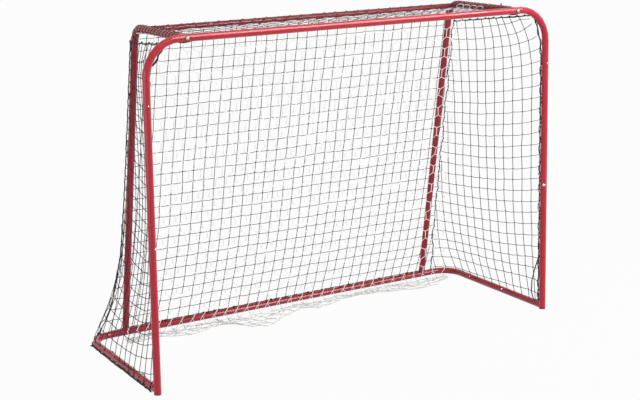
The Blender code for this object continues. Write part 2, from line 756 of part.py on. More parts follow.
def square_net(name, surface, cells, size, material, place):
    """A flat net of crossing strands, laid on surface(u, v)."""
    columns = strand_edges(cells[0], NET_STRAND / size[0])
    rows = strand_edges(cells[1], NET_STRAND / size[1])
    bm = bmesh.new()
    front = {}
    back = {}
    for i, u in enumerate(columns):
        for j, v in enumerate(rows):
            point, normal = surface_frame(surface, u, v)
            front[i, j] = bm.verts.new(point + normal * NET_THICKNESS / 2)
            back[i, j] = bm.verts.new(point - normal * NET_THICKNESS / 2)
    last_column = len(columns) - 1
    last_row = len(rows) - 1

    def solid(i, j):
        inside = 0 <= i < last_column and 0 <= j < last_row
        return inside and (i % 2 == 0 or j % 2 == 0)

    for i in range(last_column):
        for j in range(last_row):
            if not solid(i, j):
                continue
            corners = [(i, j), (i + 1, j), (i + 1, j + 1), (i, j + 1)]
            bm.faces.new([front[corner] for corner in corners])
            bm.faces.new([back[corner] for corner in reversed(corners)])
            neighbours = ((i, j - 1), (i + 1, j), (i, j + 1), (i - 1, j))
            for place_in, neighbour in enumerate(neighbours):
                if not solid(*neighbour):
                    one = corners[place_in]
                    two = corners[(place_in + 1) % 4]
                    bm.faces.new((front[two], front[one], back[one], back[two]))
    return mesh_object(name, bm, material, place)


def diamond_net(name, surface, cells, size, material, place):
    """A net of diamond meshes with zigzag edges, laid on surface(u, v)."""
    bm = bmesh.new()
    front = {}
    back = {}
    wide = 2 * cells[0]
    tall = 2 * cells[1]

    def knot(key, u, v):
        if key not in front:
            point, normal = surface_frame(surface, u, v)
            front[key] = bm.verts.new(point + normal * NET_THICKNESS / 2)
            back[key] = bm.verts.new(point - normal * NET_THICKNESS / 2)
        return key

    meshes = [(i, j) for i in range(1, wide) for j in range(1, tall) if (i + j) % 2]
    reach = ((0, -1), (1, 0), (0, 1), (-1, 0))
    cell = Vector((size[0] / wide, size[1] / tall))
    shrink = 1 - NET_STRAND / 2 / (cell.x * cell.y / cell.length)
    for i, j in meshes:
        outer = [knot((i + a, j + b), (i + a) / wide, (j + b) / tall) for a, b in reach]
        inner = [knot((i, j, a, b), (i + a * shrink) / wide, (j + b * shrink) / tall) for a, b in reach]
        for corner in range(4):
            after = (corner + 1) % 4
            quad = (outer[corner], outer[after], inner[after], inner[corner])
            bm.faces.new([front[key] for key in quad])
            bm.faces.new([back[key] for key in reversed(quad)])
            bm.faces.new((front[inner[corner]], front[inner[after]], back[inner[after]], back[inner[corner]]))
            step = (reach[corner][0] + reach[after][0], reach[corner][1] + reach[after][1])
            if (i + step[0], j + step[1]) not in meshes:
                one, two = outer[corner], outer[after]
                bm.faces.new((front[two], front[one], back[one], back[two]))
    return mesh_object(name, bm, material, place)


def make_back_net(material):
    top = CROSSBAR_Z - TUBE_RADIUS
    edge = SEAM_ROPE_RADIUS + NET_CLEARANCE

    def surface(u, v):
        height = NET_LOW + (top - NET_LOW) * v
        left = seam_point("left", -1, height).x + edge
        right = seam_point("right", 1, height).x - edge
        x = left + (right - left) * u
        return Vector((x, back_net_y(x, height), height))

    size = (2 * CANE_X + sum(SEAM_ROPE_START.values()), top - NET_LOW)
    square_net("net_back", surface, BACK_NET_CELLS, size, material, Matrix.Translation((0, FLOOR_DEPTH, 0)))


def along_path(points, share):
    """The point at a share of the length of a line through points."""
    lengths = [(after - before).length for before, after in zip(points, points[1:])]
    left = min(max(share, 0), 1) * sum(lengths)
    for before, after, length in zip(points, points[1:], lengths):
        if left <= length:
            return before.lerp(after, left / length)
        left -= length
    return points[-1]


def make_side_net(side_name, side, material):
    """From the rail up to just below the arm, and from the post and its corner back to the seam rope."""
    rear_top = CROSSBAR_Z - SIDE_NET_DROP
    edge = SEAM_ROPE_RADIUS + NET_CLEARANCE
    front_y = TUBE_RADIUS + 2 * NET_CLEARANCE
    bend = bent(
        Vector((POST_X, front_y, NET_LOW)),
        Vector((POST_X, front_y, CROSSBAR_Z)),
        Vector((CANE_X, front_y, CROSSBAR_Z)),
        TOP_CORNER_RADIUS,
    )
    front = [point for point, _ in bend if point.z <= CROSSBAR_Z - TUBE_DIAMETER]

    def seam(height):
        return seam_point(side_name, 1, height) - Vector((0, edge, 0))

    round_base = bent(
        Vector((POST_X, front_y, NET_LOW)),
        Vector((POST_X, FLOOR_DEPTH, NET_LOW)),
        Vector((0, FLOOR_DEPTH, NET_LOW)),
        BASE_CORNER_RADIUS,
    )
    base = [point for point, _ in round_base if point.x > seam(NET_LOW).x] + [seam(NET_LOW)]

    def surface(u, v):
        height = NET_LOW + (rear_top - NET_LOW) * v
        chord = along_path(front, v).lerp(seam(height), u)
        chord.x -= SIDE_NET_DRAW * math.sin(math.pi * u) * math.sin(math.pi * v)
        on_rail = along_path(base, u) + (seam(height) - seam(NET_LOW)) * u
        on_rail.z = chord.z
        point = chord.lerp(on_rail, (1 - v) ** SIDE_NET_POWER if v < 1 else 0)
        return Vector((side * point.x, point.y, point.z))

    size = ((TOP_DEPTH + FLOOR_DEPTH) / 2, rear_top - NET_LOW)
    place = Matrix.Translation((side * POST_X, TUBE_RADIUS, 0))
    square_net(f"net_{side_name}", surface, SIDE_NET_CELLS, size, material, place)


def make_top_net(material):
    half = CANE_X - PEG_RADIUS - NET_CLEARANCE
    start = TUBE_RADIUS + NET_CLEARANCE
    end = top_bar_point().y
    height = CROSSBAR_Z + TUBE_RADIUS + NET_CLEARANCE

    def surface(u, v):
        sag = TOP_NET_SAG * math.sin(math.pi * u) * math.sin(math.pi * v)
        return Vector((half * (2 * u - 1), start + (end - start) * v, height - sag))

    place = Matrix.Translation((0, start, height))
    square_net("net_top", surface, TOP_NET_CELLS, (2 * half, end - start), material, place)


def drop_rope_points():
    """The drop net's rope runs under both arms, in front of the top bar."""
    reach = CANE_X + DROP_NET_REACH
    y = top_bar_point().y - DROP_ROPE_FORWARD
    z = CROSSBAR_Z - TUBE_RADIUS - DROP_ROPE_RADIUS - 2 * FIT_GAP
    return [Vector((reach * (step / 6 - 1), y, z)) for step in range(13)]


def make_drop_net(material):
    """White netting from the rope down in front of the uprights, its foot laid forward on the floor."""
    floor_gap = NET_THICKNESS / 2 + FIT_GAP
    rope_end = drop_rope_points()[-1]
    top_y = rope_end.y
    top_z = rope_end.z - DROP_ROPE_RADIUS - NET_CLEARANCE
    foot_y = FLOOR_DEPTH - TUBE_RADIUS - DROP_NET_DEPTH
    bend = DROP_NET_DEPTH / 2
    hang = top_z - bend - floor_gap
    turn = math.pi / 2 * bend
    size = (2 * rope_end.x, hang + turn + DROP_NET_LAID)

    def surface(u, v):
        across = min(max(u, 0), 1)
        length = size[1] * (1 - v)
        lower = min(max(length / hang, 0), 1)
        x = (rope_end.x + DROP_NET_SPREAD * lower**2) * (2 * u - 1)
        if length < hang:
            return Vector((x, top_y + (foot_y - top_y) * lower, top_z - length))
        if length < hang + turn:
            angle = (length - hang) / bend
            y = foot_y - bend * (1 - math.cos(angle))
            return Vector((x, y, floor_gap + bend - bend * math.sin(angle)))
        laid = length - hang - turn
        rise = DROP_NET_FOLD * math.sin(math.pi * laid / DROP_NET_LAID) * math.sin(9 * math.pi * across) ** 2
        return Vector((x, foot_y - bend - laid, floor_gap + max(rise, 0)))

    place = Matrix.Translation((0, foot_y, 0))
    diamond_net("drop_net", surface, DROP_NET_CELLS, size, material, place)


def build():
    clear_scene()
    make_goal_empty()
    paint = make_material("red_powder_coat", (0.62, 0.02, 0.035), 0.3)
    bright = make_material("zinc_plated_steel", (0.72, 0.7, 0.66), 0.3, 1.0)
    dark_steel = make_material("blackened_steel", (0.12, 0.11, 0.11), 0.45, 0.8)
    spring_steel = make_material("spring_steel", (0.35, 0.35, 0.37), 0.35, 1.0)
    black_plastic = make_material("black_plastic", (0.02, 0.02, 0.022), 0.5)
    black_twine = make_material("black_twine", (0.012, 0.012, 0.014), 0.85)
    white_twine = make_material("white_twine", (0.85, 0.84, 0.8), 0.85)
    up = Vector((0, 0, 1))
    back = Vector((0, 1, 0))
    for side_name, side in SIDES:
        crossbar, top_corner, post, foot = make_mouth_frame(side_name, side, paint)
        base_corner, _ = make_base_frame(side_name, side, paint)
        make_cane(side_name, side, paint)
        make_foot_cap(side_name, side, black_plastic)
        make_crossbar_bolt(side_name, side, (crossbar, top_corner), bright, dark_steel)
        make_net_bolt(side_name, side, post, bright)
        make_rail_screw(side_name, side, foot, bright)
        upper_seam = Vector((side * POST_X, 0, UPPER_SEAM_Z))
        lower_seam = Vector((side * POST_X, 0, FOOT_HEIGHT))
        rail_seam = Vector((side * POST_X, RAIL_LENGTH, TUBE_RADIUS))
        make_button("upper", side_name, upper_seam, up, -back, (top_corner, post), bright, spring_steel)
        make_button("lower", side_name, lower_seam, -up, back, (foot, post), bright, spring_steel)
        tubes = (base_corner, foot)
        make_button("rail", side_name, rail_seam, back, rail_inward(side), tubes, bright, spring_steel)
        rope(f"seam_rope_{side_name}", seam_rope_points(side_name, side), SEAM_ROPE_RADIUS, black_twine)
        make_side_net(side_name, side, black_twine)
    rope("mouth_rope", mouth_rope_points(), MOUTH_ROPE_RADIUS, black_twine)
    rope("drop_rope", drop_rope_points(), DROP_ROPE_RADIUS, white_twine)
    make_back_net(black_twine)
    make_top_net(black_twine)
    make_drop_net(white_twine)


build()
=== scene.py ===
"""Floorball goal: nets, cords, lashings, clips, springs and finishes around its steel frame."""

import math
import random

import bpy
from bpy.props import FloatProperty, FloatVectorProperty, IntProperty, PointerProperty
from mathutils import Matrix, Vector, noise


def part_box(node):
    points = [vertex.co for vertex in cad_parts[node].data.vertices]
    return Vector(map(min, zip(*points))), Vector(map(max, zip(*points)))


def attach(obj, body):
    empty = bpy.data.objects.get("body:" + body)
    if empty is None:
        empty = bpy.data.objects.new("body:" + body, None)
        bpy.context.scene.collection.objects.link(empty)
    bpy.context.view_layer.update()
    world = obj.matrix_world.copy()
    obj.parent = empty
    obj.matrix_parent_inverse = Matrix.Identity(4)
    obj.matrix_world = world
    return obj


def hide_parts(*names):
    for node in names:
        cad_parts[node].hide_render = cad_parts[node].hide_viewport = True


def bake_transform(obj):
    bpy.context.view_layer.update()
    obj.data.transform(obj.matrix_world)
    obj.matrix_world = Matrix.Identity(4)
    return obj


bl_info = {
    "name": "Floorball goal",
    "version": (1, 0, 0),
    "blender": (4, 5, 0),
    "location": "3D View > Sidebar > Goal",
    "description": "Nets, ropes, lashings and finishes of a knock-down floorball goal",
    "category": "Object",
}

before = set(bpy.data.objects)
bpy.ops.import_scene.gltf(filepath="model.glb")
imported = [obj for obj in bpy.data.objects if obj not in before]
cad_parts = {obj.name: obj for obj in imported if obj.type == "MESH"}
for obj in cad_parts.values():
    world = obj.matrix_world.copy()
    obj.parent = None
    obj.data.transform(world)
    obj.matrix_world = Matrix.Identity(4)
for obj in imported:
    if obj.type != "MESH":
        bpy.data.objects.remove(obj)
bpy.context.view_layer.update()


def middle(node):
    low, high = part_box(node)
    return (low + high) / 2


# Sizes and places read from the frame. Depths are measured from the posts' plane.
SIDES = (("left", -1), ("right", 1))
MOUTH_Y = middle("post_right").y
POST_X = middle("post_right").x
CROSSBAR_Z = middle("crossbar_right").z
REAR_X = middle("rear_upright_right").x
TUBE_RADIUS = middle("back_bar_right").z
FLOOR_DEPTH = middle("back_bar_right").y - MOUTH_Y
TOP_BAR = middle("top_bar_right") - Vector((0, MOUTH_Y, 0))
UPPER_SEAM_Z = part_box("top_corner_right")[0].z
LOWER_SEAM_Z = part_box("foot_rail_right")[1].z

# Other sizes of the frame, as in the CAD source
BASE_CORNER_RADIUS = 0.08
ARM_BEND_RADIUS = 0.06
RAIL_LENGTH = 0.43
LEAN_FORWARD = 0.2
NET_CLEARANCE = 0.0035
REAR_LEAN = -LEAN_FORWARD / (CROSSBAR_Z - TUBE_RADIUS)
NET_PLANE = TUBE_RADIUS * math.hypot(1, REAR_LEAN) + NET_CLEARANCE

# Spring buttons, as in the CAD source
RAIL_TURN = math.radians(30)
BUTTON_TO_SEAM = 0.011
BUTTON_FLANGE_RADIUS = 0.0042
LEAF_WIDTH = 0.007
LEAF_THICKNESS = 0.0007
LEAF_NEAR = 0.006323
LEAF_FAR = -0.008135
LEAF_FOLD = 0.024
LEAF_FOLD_RADIUS = 0.002

# Back and top net: its grid, then how it is pulled out of true
NET_MESH = 0.0428
NET_FIRST_X = -0.662
NET_COLUMNS = range(-3, 36)
NET_FOOT = 0.0215
NET_KNEE = 1.143
TOP_NET_WRAP = TUBE_RADIUS + 0.0022
TOP_NET_FRONT = Vector((0, TUBE_RADIUS + 0.003, CROSSBAR_Z + TUBE_RADIUS - 0.001))
TOP_NET_EDGE_X = REAR_X + TUBE_RADIUS * 0.6
TOP_NET_THICKNESS = 0.6
NET_DRIFT = 0.028
NET_TRUE_ABOVE = 1.1
NET_PULL = 0.03
NET_PULL_HEIGHT = 0.45
NET_SLIDE = 0.0118
NET_SLIDE_SLOPE = 0.022
NET_SLIDE_LEVEL = 0.5
NET_DIP = 0.015
NET_DIP_START_X = 0.15
NET_DIP_WIDTH = 0.45
BACK_WANDER = 0.004
BACK_WANDER_GRAIN = 0.23
BACK_SAG = 0.006
TOP_SAG = 0.004
TOP_WANDER = 0.006

# Seams between the back and side nets
SEAM_START = {"left": 0.010, "right": 0.042}
SEAM_DRIFT = {"left": 0.011, "right": 0.012}
SEAM_FLARE = {"left": 0.09, "right": 0.014}
SEAM_FLARE_POWER = 8
SEAM_WAVE = {"left": 0.0015, "right": 0.0095}
SEAM_SCALLOP = {"left": 0.002, "right": 0.005}
SEAM_FOOT = 0.012
SEAM_ABOVE_SIDE = 0.006

# Side nets: their grid, then how they hang and are pulled
SIDE_MESH = 0.0437
SIDE_ROWS = 25
SIDE_COLUMNS = range(1, 16)
SIDE_START = 0.004
SIDE_FOOT = 0.005
SIDE_TOP_FRONT = {"left": 1.146, "right": 1.139}
SIDE_TOP_REAR = {"left": 1.110, "right": 1.087}
SIDE_SAG = {"left": 0.045, "right": 0.0}
SIDE_DRAW = {"left": 0.028, "right": 0.012}
SIDE_RISE = {"left": 3, "right": 1.5}
SIDE_WRAP_POWER = 7
SIDE_WANDER = 0.004
SIDE_WANDER_GRAIN = 0.2
SEAM_ROW_START = -0.016
SEAM_ROW_PITCH = 0.0430
POST_ROW_START = 0.008
POST_ROW_PITCH = 0.0448
CORNER_LIFT = 0.03
CORNER_LIFT_ROWS = 5
CORNER_LIFT_SHARE = 0.3
POST_LIFT = 0.016
POST_LIFT_SHARE = 0.18
LOW_LIFT = 0.013
LOW_LIFT_ROW = 2.4
LOW_LIFT_ROWS = 1.2
TOP_ROWS_GAP = 0.012
HIGH_STRETCH = 0.17
HIGH_STRETCH_FROM = 0.75
FOOT_PULL = 0.018
FOOT_PULL_HEIGHT = 0.4
FOOT_PULL_WIDTH = 0.09
CORNER_PULL = 0.04
CORNER_PULL_FROM = 0.93
CORNER_PULL_HEIGHT = 0.2
CORNER_PULL_PLACE = 0.09
CORNER_PULL_WIDTH = 0.14
RAIL_WRAP = NET_PLANE * 0.9
RAIL_START_INSIDE = 0.011
RAIL_START_Y = 0.0109
RAIL_START_LENGTH = 0.05
RAIL_DRAWN_IN = 0.98

# Cords and twines
CORD_RADIUS = 0.0021
EDGE_CORD_RADIUS = CORD_RADIUS * 1.1
MOUTH_CORD_RADIUS = CORD_RADIUS * 1.15
WRAP_RADIUS = 0.0012
WRAP_FROM_X = 0.72
CORD_GAP = 0.0012
FIRST_TIE = 0.12
LAST_TIE = 1.13
MOUTH_ROPE_REACH = TUBE_RADIUS + 0.0029
MOUTH_INSIDE = MOUTH_ROPE_REACH * math.cos(math.radians(45))

# The mouth cord at each post's bend, as heights and places across the goal
MOUTH_CORNER = {
    "left": (
        (0.98, 0.8016),
        (1.03, 0.798),
        (1.0715, 0.7907),
        (1.1074, 0.765),
        (1.1373, 0.743),
        (1.1464, 0.715),
    ),
    "right": (
        (0.98, 0.8016),
        (1.024, 0.799),
        (1.0815, 0.7865),
        (1.12, 0.7715),
        (1.14, 0.758),
        (1.1464, 0.745),
    ),
}

# The loose loop at the right foot, as places inwards and back from the mouth cord, and heights
FOOT_LOOP = (
    (0.0, 0.0, 0.205),
    (0.013, 0.004, 0.165),
    (0.027, 0.006, 0.115),
    (0.031, 0.004, 0.07),
    (0.022, 0.001, 0.04),
    (0.0, 0.0, 0.032),
)

# Bottom cord, the places of its ties, and its spare loops as places across, depths and sizes
BOTTOM_CORD_RADIUS = 0.0028
BOTTOM_CORD_Z = 0.0045
BOTTOM_BOW = 0.0035
BOTTOM_BOW_PITCH = 0.043
BOTTOM_STEP = 0.012
BOTTOM_WANDER = 0.0014
BOTTOM_WANDER_GRAIN = 0.05
BACK_BAR_TIES = (-0.52, -0.505, -0.345, -0.3, -0.215, -0.05, 0.12, 0.31, 0.46, 0.6)
CORNER_LOOPS = ((-0.826, 0.545, 0.007), (-0.822, 0.515, 0.010), (-0.808, 0.575, 0.008))

# The drop net's cord and its lacing
LACED_X = REAR_X - 0.03
DROP_ROPE_Y = TOP_BAR.y - 0.0385
DROP_ROPE_Z = CROSSBAR_Z - TUBE_RADIUS - 0.0021
DROP_ROPE_REACH = REAR_X + 0.02
DROP_ROPE_RADIUS = 0.0016
DROP_LACE_RADIUS = 0.0011

# Net clips: their heights up each post
CLIP_HEIGHTS = {"left": (0.25, 0.563, 0.8), "right": (0.176, 0.395, 0.467, 0.53, 1.0)}
CLIP_RING_RADIUS = 0.0052
CLIP_WIRE_RADIUS = 0.0014

# Where the wander of x, y and z is read from the noise
STRAY_OFFSETS = (Vector((0, 0, 0)), Vector((31.4, 7.9, 2.2)), Vector((5.3, 47.1, 19.6)))

# Drop net, and the edge of its pile as places across the goal and depths
HEX_WIDTH = 0.046
HEX_ROW = 0.040
HEX_ZIGZAG = 0.011
HEX_JITTER = 0.0022
DROP_FOOT_Y = FLOOR_DEPTH - TUBE_RADIUS - 0.05
DROP_SPREAD = 0.055
DROP_LEFT = 0.648
DROP_LEFT_SPREAD = 0.05
DROP_BEND = 0.025
DROP_RAIL_GAP = 0.045
DROP_WANDER_GRAIN = 0.16
GATHER = 0.3
GATHER_LENGTH = 0.1
PILE_ROWS = 7
PILE_CRUMPLE = 0.019
PILE_CRUMPLE_GRAIN = 0.042
PILE_ZIGZAG = 0.009
PILE_EDGE = (
    (-0.77, 0.500),
    (-0.57, 0.500),
    (-0.46, 0.468),
    (-0.33, 0.502),
    (-0.174, 0.391),
    (-0.044, 0.465),
    (0.03, 0.510),
    (0.08, 0.473),
    (0.27, 0.525),
    (0.50, 0.490),
    (0.57, 0.455),
    (0.67, 0.475),
    (0.735, 0.535),
)

# Camera, fitted to the photograph of IMAGE_WIDTH by IMAGE_HEIGHT pixels
CAMERA_EYE = Vector((-2.495, -3.845, 1.6506))
CAMERA_AZIMUTH = math.radians(29.706)
CAMERA_ELEVATION = math.radians(9.496)
CAMERA_ROLL = math.radians(-1.142)
IMAGE_WIDTH = 640
IMAGE_HEIGHT = 400
IMAGE_CENTRE = (287.65, 104.64)


# Settings


def length_setting(name, description, default, low, high):
    return FloatProperty(
        name=name, description=description, default=default, min=low, max=high, unit="LENGTH"
    )


def colour_setting(name, description, default):
    return FloatVectorProperty(name=name, description=description, default=default, subtype="COLOR")


class NetSettings(bpy.types.PropertyGroup):
    """Twine of the black goal net"""

    twine: length_setting("Twine", "Diameter of the black twine", 0.0025, 0.001, 0.005)
    knot: length_setting("Knot", "Width of a knot", 0.0058, 0.002, 0.012)
    slack: length_setting("Slack", "Sag of a strand between two knots", 0.0016, 0, 0.01)
    wander: length_setting("Wander", "How far knots stray from a true grid", 0.004, 0, 0.02)
    seed: IntProperty(name="Seed", description="Start of the random draws", default=4)


class DropNetSettings(bpy.types.PropertyGroup):
    """Thread of the white drop net"""

    thread: length_setting("Thread", "Diameter of the white thread", 0.0024, 0.001, 0.005)
    wander: length_setting("Wander", "How far its knots stray", 0.006, 0, 0.02)
    pile: length_setting("Pile", "Height of the folds on the floor", 0.016, 0, 0.05)
    seed: IntProperty(name="Seed", description="Start of the random draws", default=9)


class FinishSettings(bpy.types.PropertyGroup):
    """Colours of the frame and the twines"""

    paint: colour_setting("Paint", "Powder coat of the frame", (0.6, 0.011, 0.036))
    # Share of painted shade that deepens the red of the tubes behind the mouth
    painted_rear_shade: FloatProperty(
        name="Rear depth",
        description="How much deeper the red is behind the mouth",
        default=0.42,
        min=0,
        max=1,
    )
    black: colour_setting("Black twine", "Colour of the goal net", (0.007, 0.008, 0.009))
    white: colour_setting("White thread", "Colour of the drop net", (0.97, 0.96, 0.94))


class StageSettings(bpy.types.PropertyGroup):
    """Camera, floor and lights"""

    lens: FloatProperty(name="Lens", description="Focal length", default=75.43, subtype="DISTANCE_CAMERA")
    key: FloatProperty(name="Key light", description="Power of the key light", default=88, min=0)
    sky: FloatProperty(name="Sky", description="Strength of the even light", default=0.68, min=0)
    floor: colour_setting("Floor", "Colour of the floor", (0.42, 0.42, 0.42))


# Strands

KNOT_SIDES = 6
KNOT_SHOULDER = 0.45
KNOT_FULLNESS = 0.92
KNOT_LAY = (0, 0.001, 0.003, 0.004)


class Strands:
    """Thin tubes and knots gathered into one mesh, with a UV map that runs along each strand."""

    def __init__(self, sides=4):
        self.sides = sides
        self.places = []
        self.faces = []
        self.uvs = []

    def tube(self, points, radius):
        rings = []
        across = None
        travelled = 0
        last = len(points) - 1
        for step, point in enumerate(points):
            tangent = (points[min(step + 1, last)] - points[max(step - 1, 0)]).normalized()
            if across is None:
                across = tangent.orthogonal().normalized()
            else:
                across = (across - tangent * across.dot(tangent)).normalized()
                travelled += (point - points[step - 1]).length
            other = tangent.cross(across)
            start = len(self.places)
            for side in range(self.sides):
                angle = 2 * math.pi * side / self.sides
                self.places.append(point + (across * math.cos(angle) + other * math.sin(angle)) * radius)
            rings.append((start, travelled))
        for (one, here), (two, there) in zip(rings, rings[1:]):
            for side in range(self.sides):
                after = (side + 1) % self.sides
                self.faces.append((one + side, one + after, two + after, two + side))
                left, right = side / self.sides, (side + 1) / self.sides
                self.uvs += [(left, here), (right, here), (right, there), (left, there)]
        first, end = rings[0][0], rings[-1][0]
        self.faces.append(tuple(first + side for side in reversed(range(self.sides))))
        self.faces.append(tuple(end + side for side in range(self.sides)))
        self.uvs += [(0.5, rings[0][1])] * self.sides + [(0.5, travelled)] * self.sides

    def knot(self, place, along, across, size):
        """A small flattened ball of twine with its poles along the strand."""
        along = along.normalized()
        across = (across - along * across.dot(along)).normalized()
        out = along.cross(across)
        start = len(self.places)
        self.places.append(place - along * size.x)
        for shoulder in (-KNOT_SHOULDER, KNOT_SHOULDER):
            for side in range(KNOT_SIDES):
                angle = 2 * math.pi * side / KNOT_SIDES
                spread = across * math.cos(angle) * size.y + out * math.sin(angle) * size.z
                self.places.append(place + along * size.x * shoulder + spread * KNOT_FULLNESS)
        self.places.append(place + along * size.x)
        one, two = start + 1, start + 1 + KNOT_SIDES
        end = two + KNOT_SIDES
        pole, first, second, last = KNOT_LAY
        for side in range(KNOT_SIDES):
            after = (side + 1) % KNOT_SIDES
            self.faces.append((start, one + after, one + side))
            self.faces.append((one + side, one + after, two + after, two + side))
            self.faces.append((end, two + side, two + after))
            left, right = side / KNOT_SIDES, (side + 1) / KNOT_SIDES
            self.uvs += [(left, pole), (right, first), (left, first)]
            self.uvs += [(left, first), (right, first), (right, second), (left, second)]
            self.uvs += [(left, last), (left, second), (right, second)]

    def piece(self, name, material, slot, replaces=()):
        """Makes the gathered strands a piece that rides on the frame."""
        mesh = bpy.data.meshes.new(name)
        shift = Vector((0, MOUTH_Y, 0))
        mesh.from_pydata([place + shift for place in self.places], [], self.faces)
        layer = mesh.uv_layers.new(name="lay")
        layer.data.foreach_set("uv", [value for pair in self.uvs for value in pair])
        for face in mesh.polygons:
            face.use_smooth = True
        mesh.materials.append(material)
        piece = bpy.data.objects.new(name, mesh)
        bpy.context.scene.collection.objects.link(piece)
        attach(piece, "frame")
        if replaces:
            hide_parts(*replaces)


def stray(point, amount, grain):
    """A smooth, repeatable wander that depends only on the place."""
    here = point / grain
    return Vector([noise.noise(here + offset) for offset in STRAY_OFFSETS]) * amount


def slack_run(start, end, sag, steps):
    """Points from one knot towards the next, with a little sag."""
    points = []
    for step in range(steps):
        share = step / steps
        drop = Vector((0, 0, -sag * 4 * share * (1 - share)))
        points.append(start.lerp(end, share) + drop)
    return points


def along_path(points, distance):
    """The point at a distance along a line through points, carried on past its last point."""
    for before, after in zip(points, points[1:]):
        length = (after - before).length
        if distance <= length:
            return before.lerp(after, distance / length)
        distance -= length
    return after + (after - before).normalized() * distance


def path_length(points):
    return sum((after - before).length for before, after in zip(points, points[1:]))


def bend(before, corner, after, radius, steps=8):
    """Points of a round corner between two straight runs."""
    arrive = (corner - before).normalized()
    leave = (after - corner).normalized()
    turn = arrive.angle(leave)
    inward = (leave - arrive * leave.dot(arrive)).normalized()
    centre = corner - arrive * radius * math.tan(turn / 2) + inward * radius
    axis = arrive.cross(leave).normalized()
    turns = [Matrix.Rotation(turn * step / steps, 3, axis) for step in range(steps + 1)]
    return [centre - part @ inward * radius for part in turns]


def coil(line, reach, pitch, draws, looseness=0.0, start=0.0, steps=10):
    """Points of a twine wound round a line, not quite evenly."""
    total = path_length(line)
    count = max(round(total / pitch * steps), steps)
    ahead = 0.003
    across = None
    points = []
    for step in range(count + 1):
        distance = total * step / count
        centre = along_path(line, distance)
        tangent = (along_path(line, distance + ahead) - centre).normalized()
        across = tangent.orthogonal() if across is None else across - tangent * across.dot(tangent)
        across.normalize()
        angle = start - 2 * math.pi * step / steps + 0.5 * noise.noise(Vector((distance * 40, 0, 1)))
        out = across * math.cos(angle) + tangent.cross(across) * math.sin(angle)
        points.append(centre + out * reach * (1 + looseness * draws.random()))
    return points


def loop(centre, one, two, steps, rise=0.0):
    """Points once round a centre through the ends of two radii, climbing a little."""
    points = []
    for step in range(steps + 1):
        angle = 2 * math.pi * step / steps
        climb = Vector((0, 0, rise * step / steps))
        points.append(centre + one * math.cos(angle) + two * math.sin(angle) + climb)
    return points


def slack_along(start, end, level, gap, seed):
    """A strand that wanders along a straight tube, round its axis by the level in degrees."""
    axis = (end - start).normalized()
    across = axis.cross(Vector((0, 0, 1)))
    step_length = 0.0095
    wander = 38
    bow = 0.0018
    lowest = 0.0024
    steps = round((end - start).length / step_length)
    run = []
    for step in range(steps + 1):
        place = start.lerp(end, step / steps)
        travelled = step * step_length
        angle = math.radians(level + wander * noise.noise(Vector((seed * 5, travelled * 22, 0))))
        reach = TUBE_RADIUS + gap + bow * abs(math.sin(math.pi * travelled / SIDE_MESH + seed))
        place -= across * reach * math.cos(angle)
        place.z = max(place.z + reach * math.sin(angle), lowest)
        run.append(place)
    return run


def scalloped(line, pitch, sag, steps=6):
    """A line that hangs in small bows between ties."""
    total = path_length(line)
    bows = round(total / pitch)
    points = []
    for step in range(bows * steps + 1):
        share = step / steps % 1
        point = along_path(line, total * step / bows / steps)
        points.append(point - Vector((0, 0, sag * 4 * share * (1 - share))))
    return points


def between(pairs, x):
    """A smooth value between given pairs of place and value."""
    if x <= pairs[0][0]:
        return pairs[0][1]
    for (one, low), (two, high) in zip(pairs, pairs[1:]):
        if x <= two:
            share = (x - one) / (two - one)
            share = share * share * (3 - 2 * share)
            return low + (high - low) * share
    return pairs[-1][1]


class Grid:
    """A net of knots at whole columns and rows, cut along two edges."""

    edge_gap = 0.15
    knot_shape = Vector((0.5, 0.42, 0.36))

    def __init__(self, place, left_edge, right_edge, settings, seed):
        self.place = place
        self.left_edge = left_edge
        self.right_edge = right_edge
        self.settings = settings
        self.draws = random.Random(seed)
        self.jitter = {}

    def knot(self, column, row):
        key = (round(column, 3), round(row, 3))
        if key not in self.jitter:
            stray_by = self.settings.wander * 0.3
            self.jitter[key] = Vector([self.draws.uniform(-stray_by, stray_by) for _ in range(3)])
        return self.place(column, row) + self.jitter[key]

    def row_stops(self, row):
        low, high = self.left_edge(row), self.right_edge(row)
        return [low, *range(math.ceil(low + self.edge_gap), math.floor(high - self.edge_gap) + 1), high]

    def holds(self, column, row):
        return self.left_edge(row) < column - self.edge_gap and column + self.edge_gap < self.right_edge(row)

    def build(self, strands, rows, columns, share=1.0):
        """Strands along every row and column, with a knot where they cross.

        Where the net is stretched, its twine is only a share as thick.
        """
        radius = self.settings.twine / 2 * share
        sag = self.settings.slack
        crossings = set()
        for row in rows:
            stops = self.row_stops(row)
            points = []
            knots = [self.knot(stop, row) for stop in stops]
            for one, two in zip(knots, knots[1:]):
                points += slack_run(one, two, sag * self.draws.uniform(0.4, 1.6), steps=3)
            strands.tube(points + [knots[-1]], radius)
            crossings |= {(stop, row) for stop in stops[1:-1]}
        for column in columns:
            stops = [row for row in rows if self.holds(column, row)]
            if len(stops) < 2:
                continue
            knots = [self.knot(column, row) for row in stops]
            points = []
            for one, two in zip(knots, knots[1:]):
                points += slack_run(one, two, 0, steps=2)
            strands.tube(points + [knots[-1]], radius)
        size = self.knot_shape * self.settings.knot * share
        for column, row in sorted(crossings):
            here = self.knot(column, row)
            lengthways, sideways, upwards = [self.draws.uniform(-reach, reach) for reach in (1, 0.3, 1)]
            along = Vector((lengthways, sideways, upwards))
            strands.knot(here, along, Vector((0, 0, 1)) + along * 0.1, size)


# Shape of the nets


def back_plane(height):
    return FLOOR_DEPTH + NET_PLANE + REAR_LEAN * (height - TUBE_RADIUS)


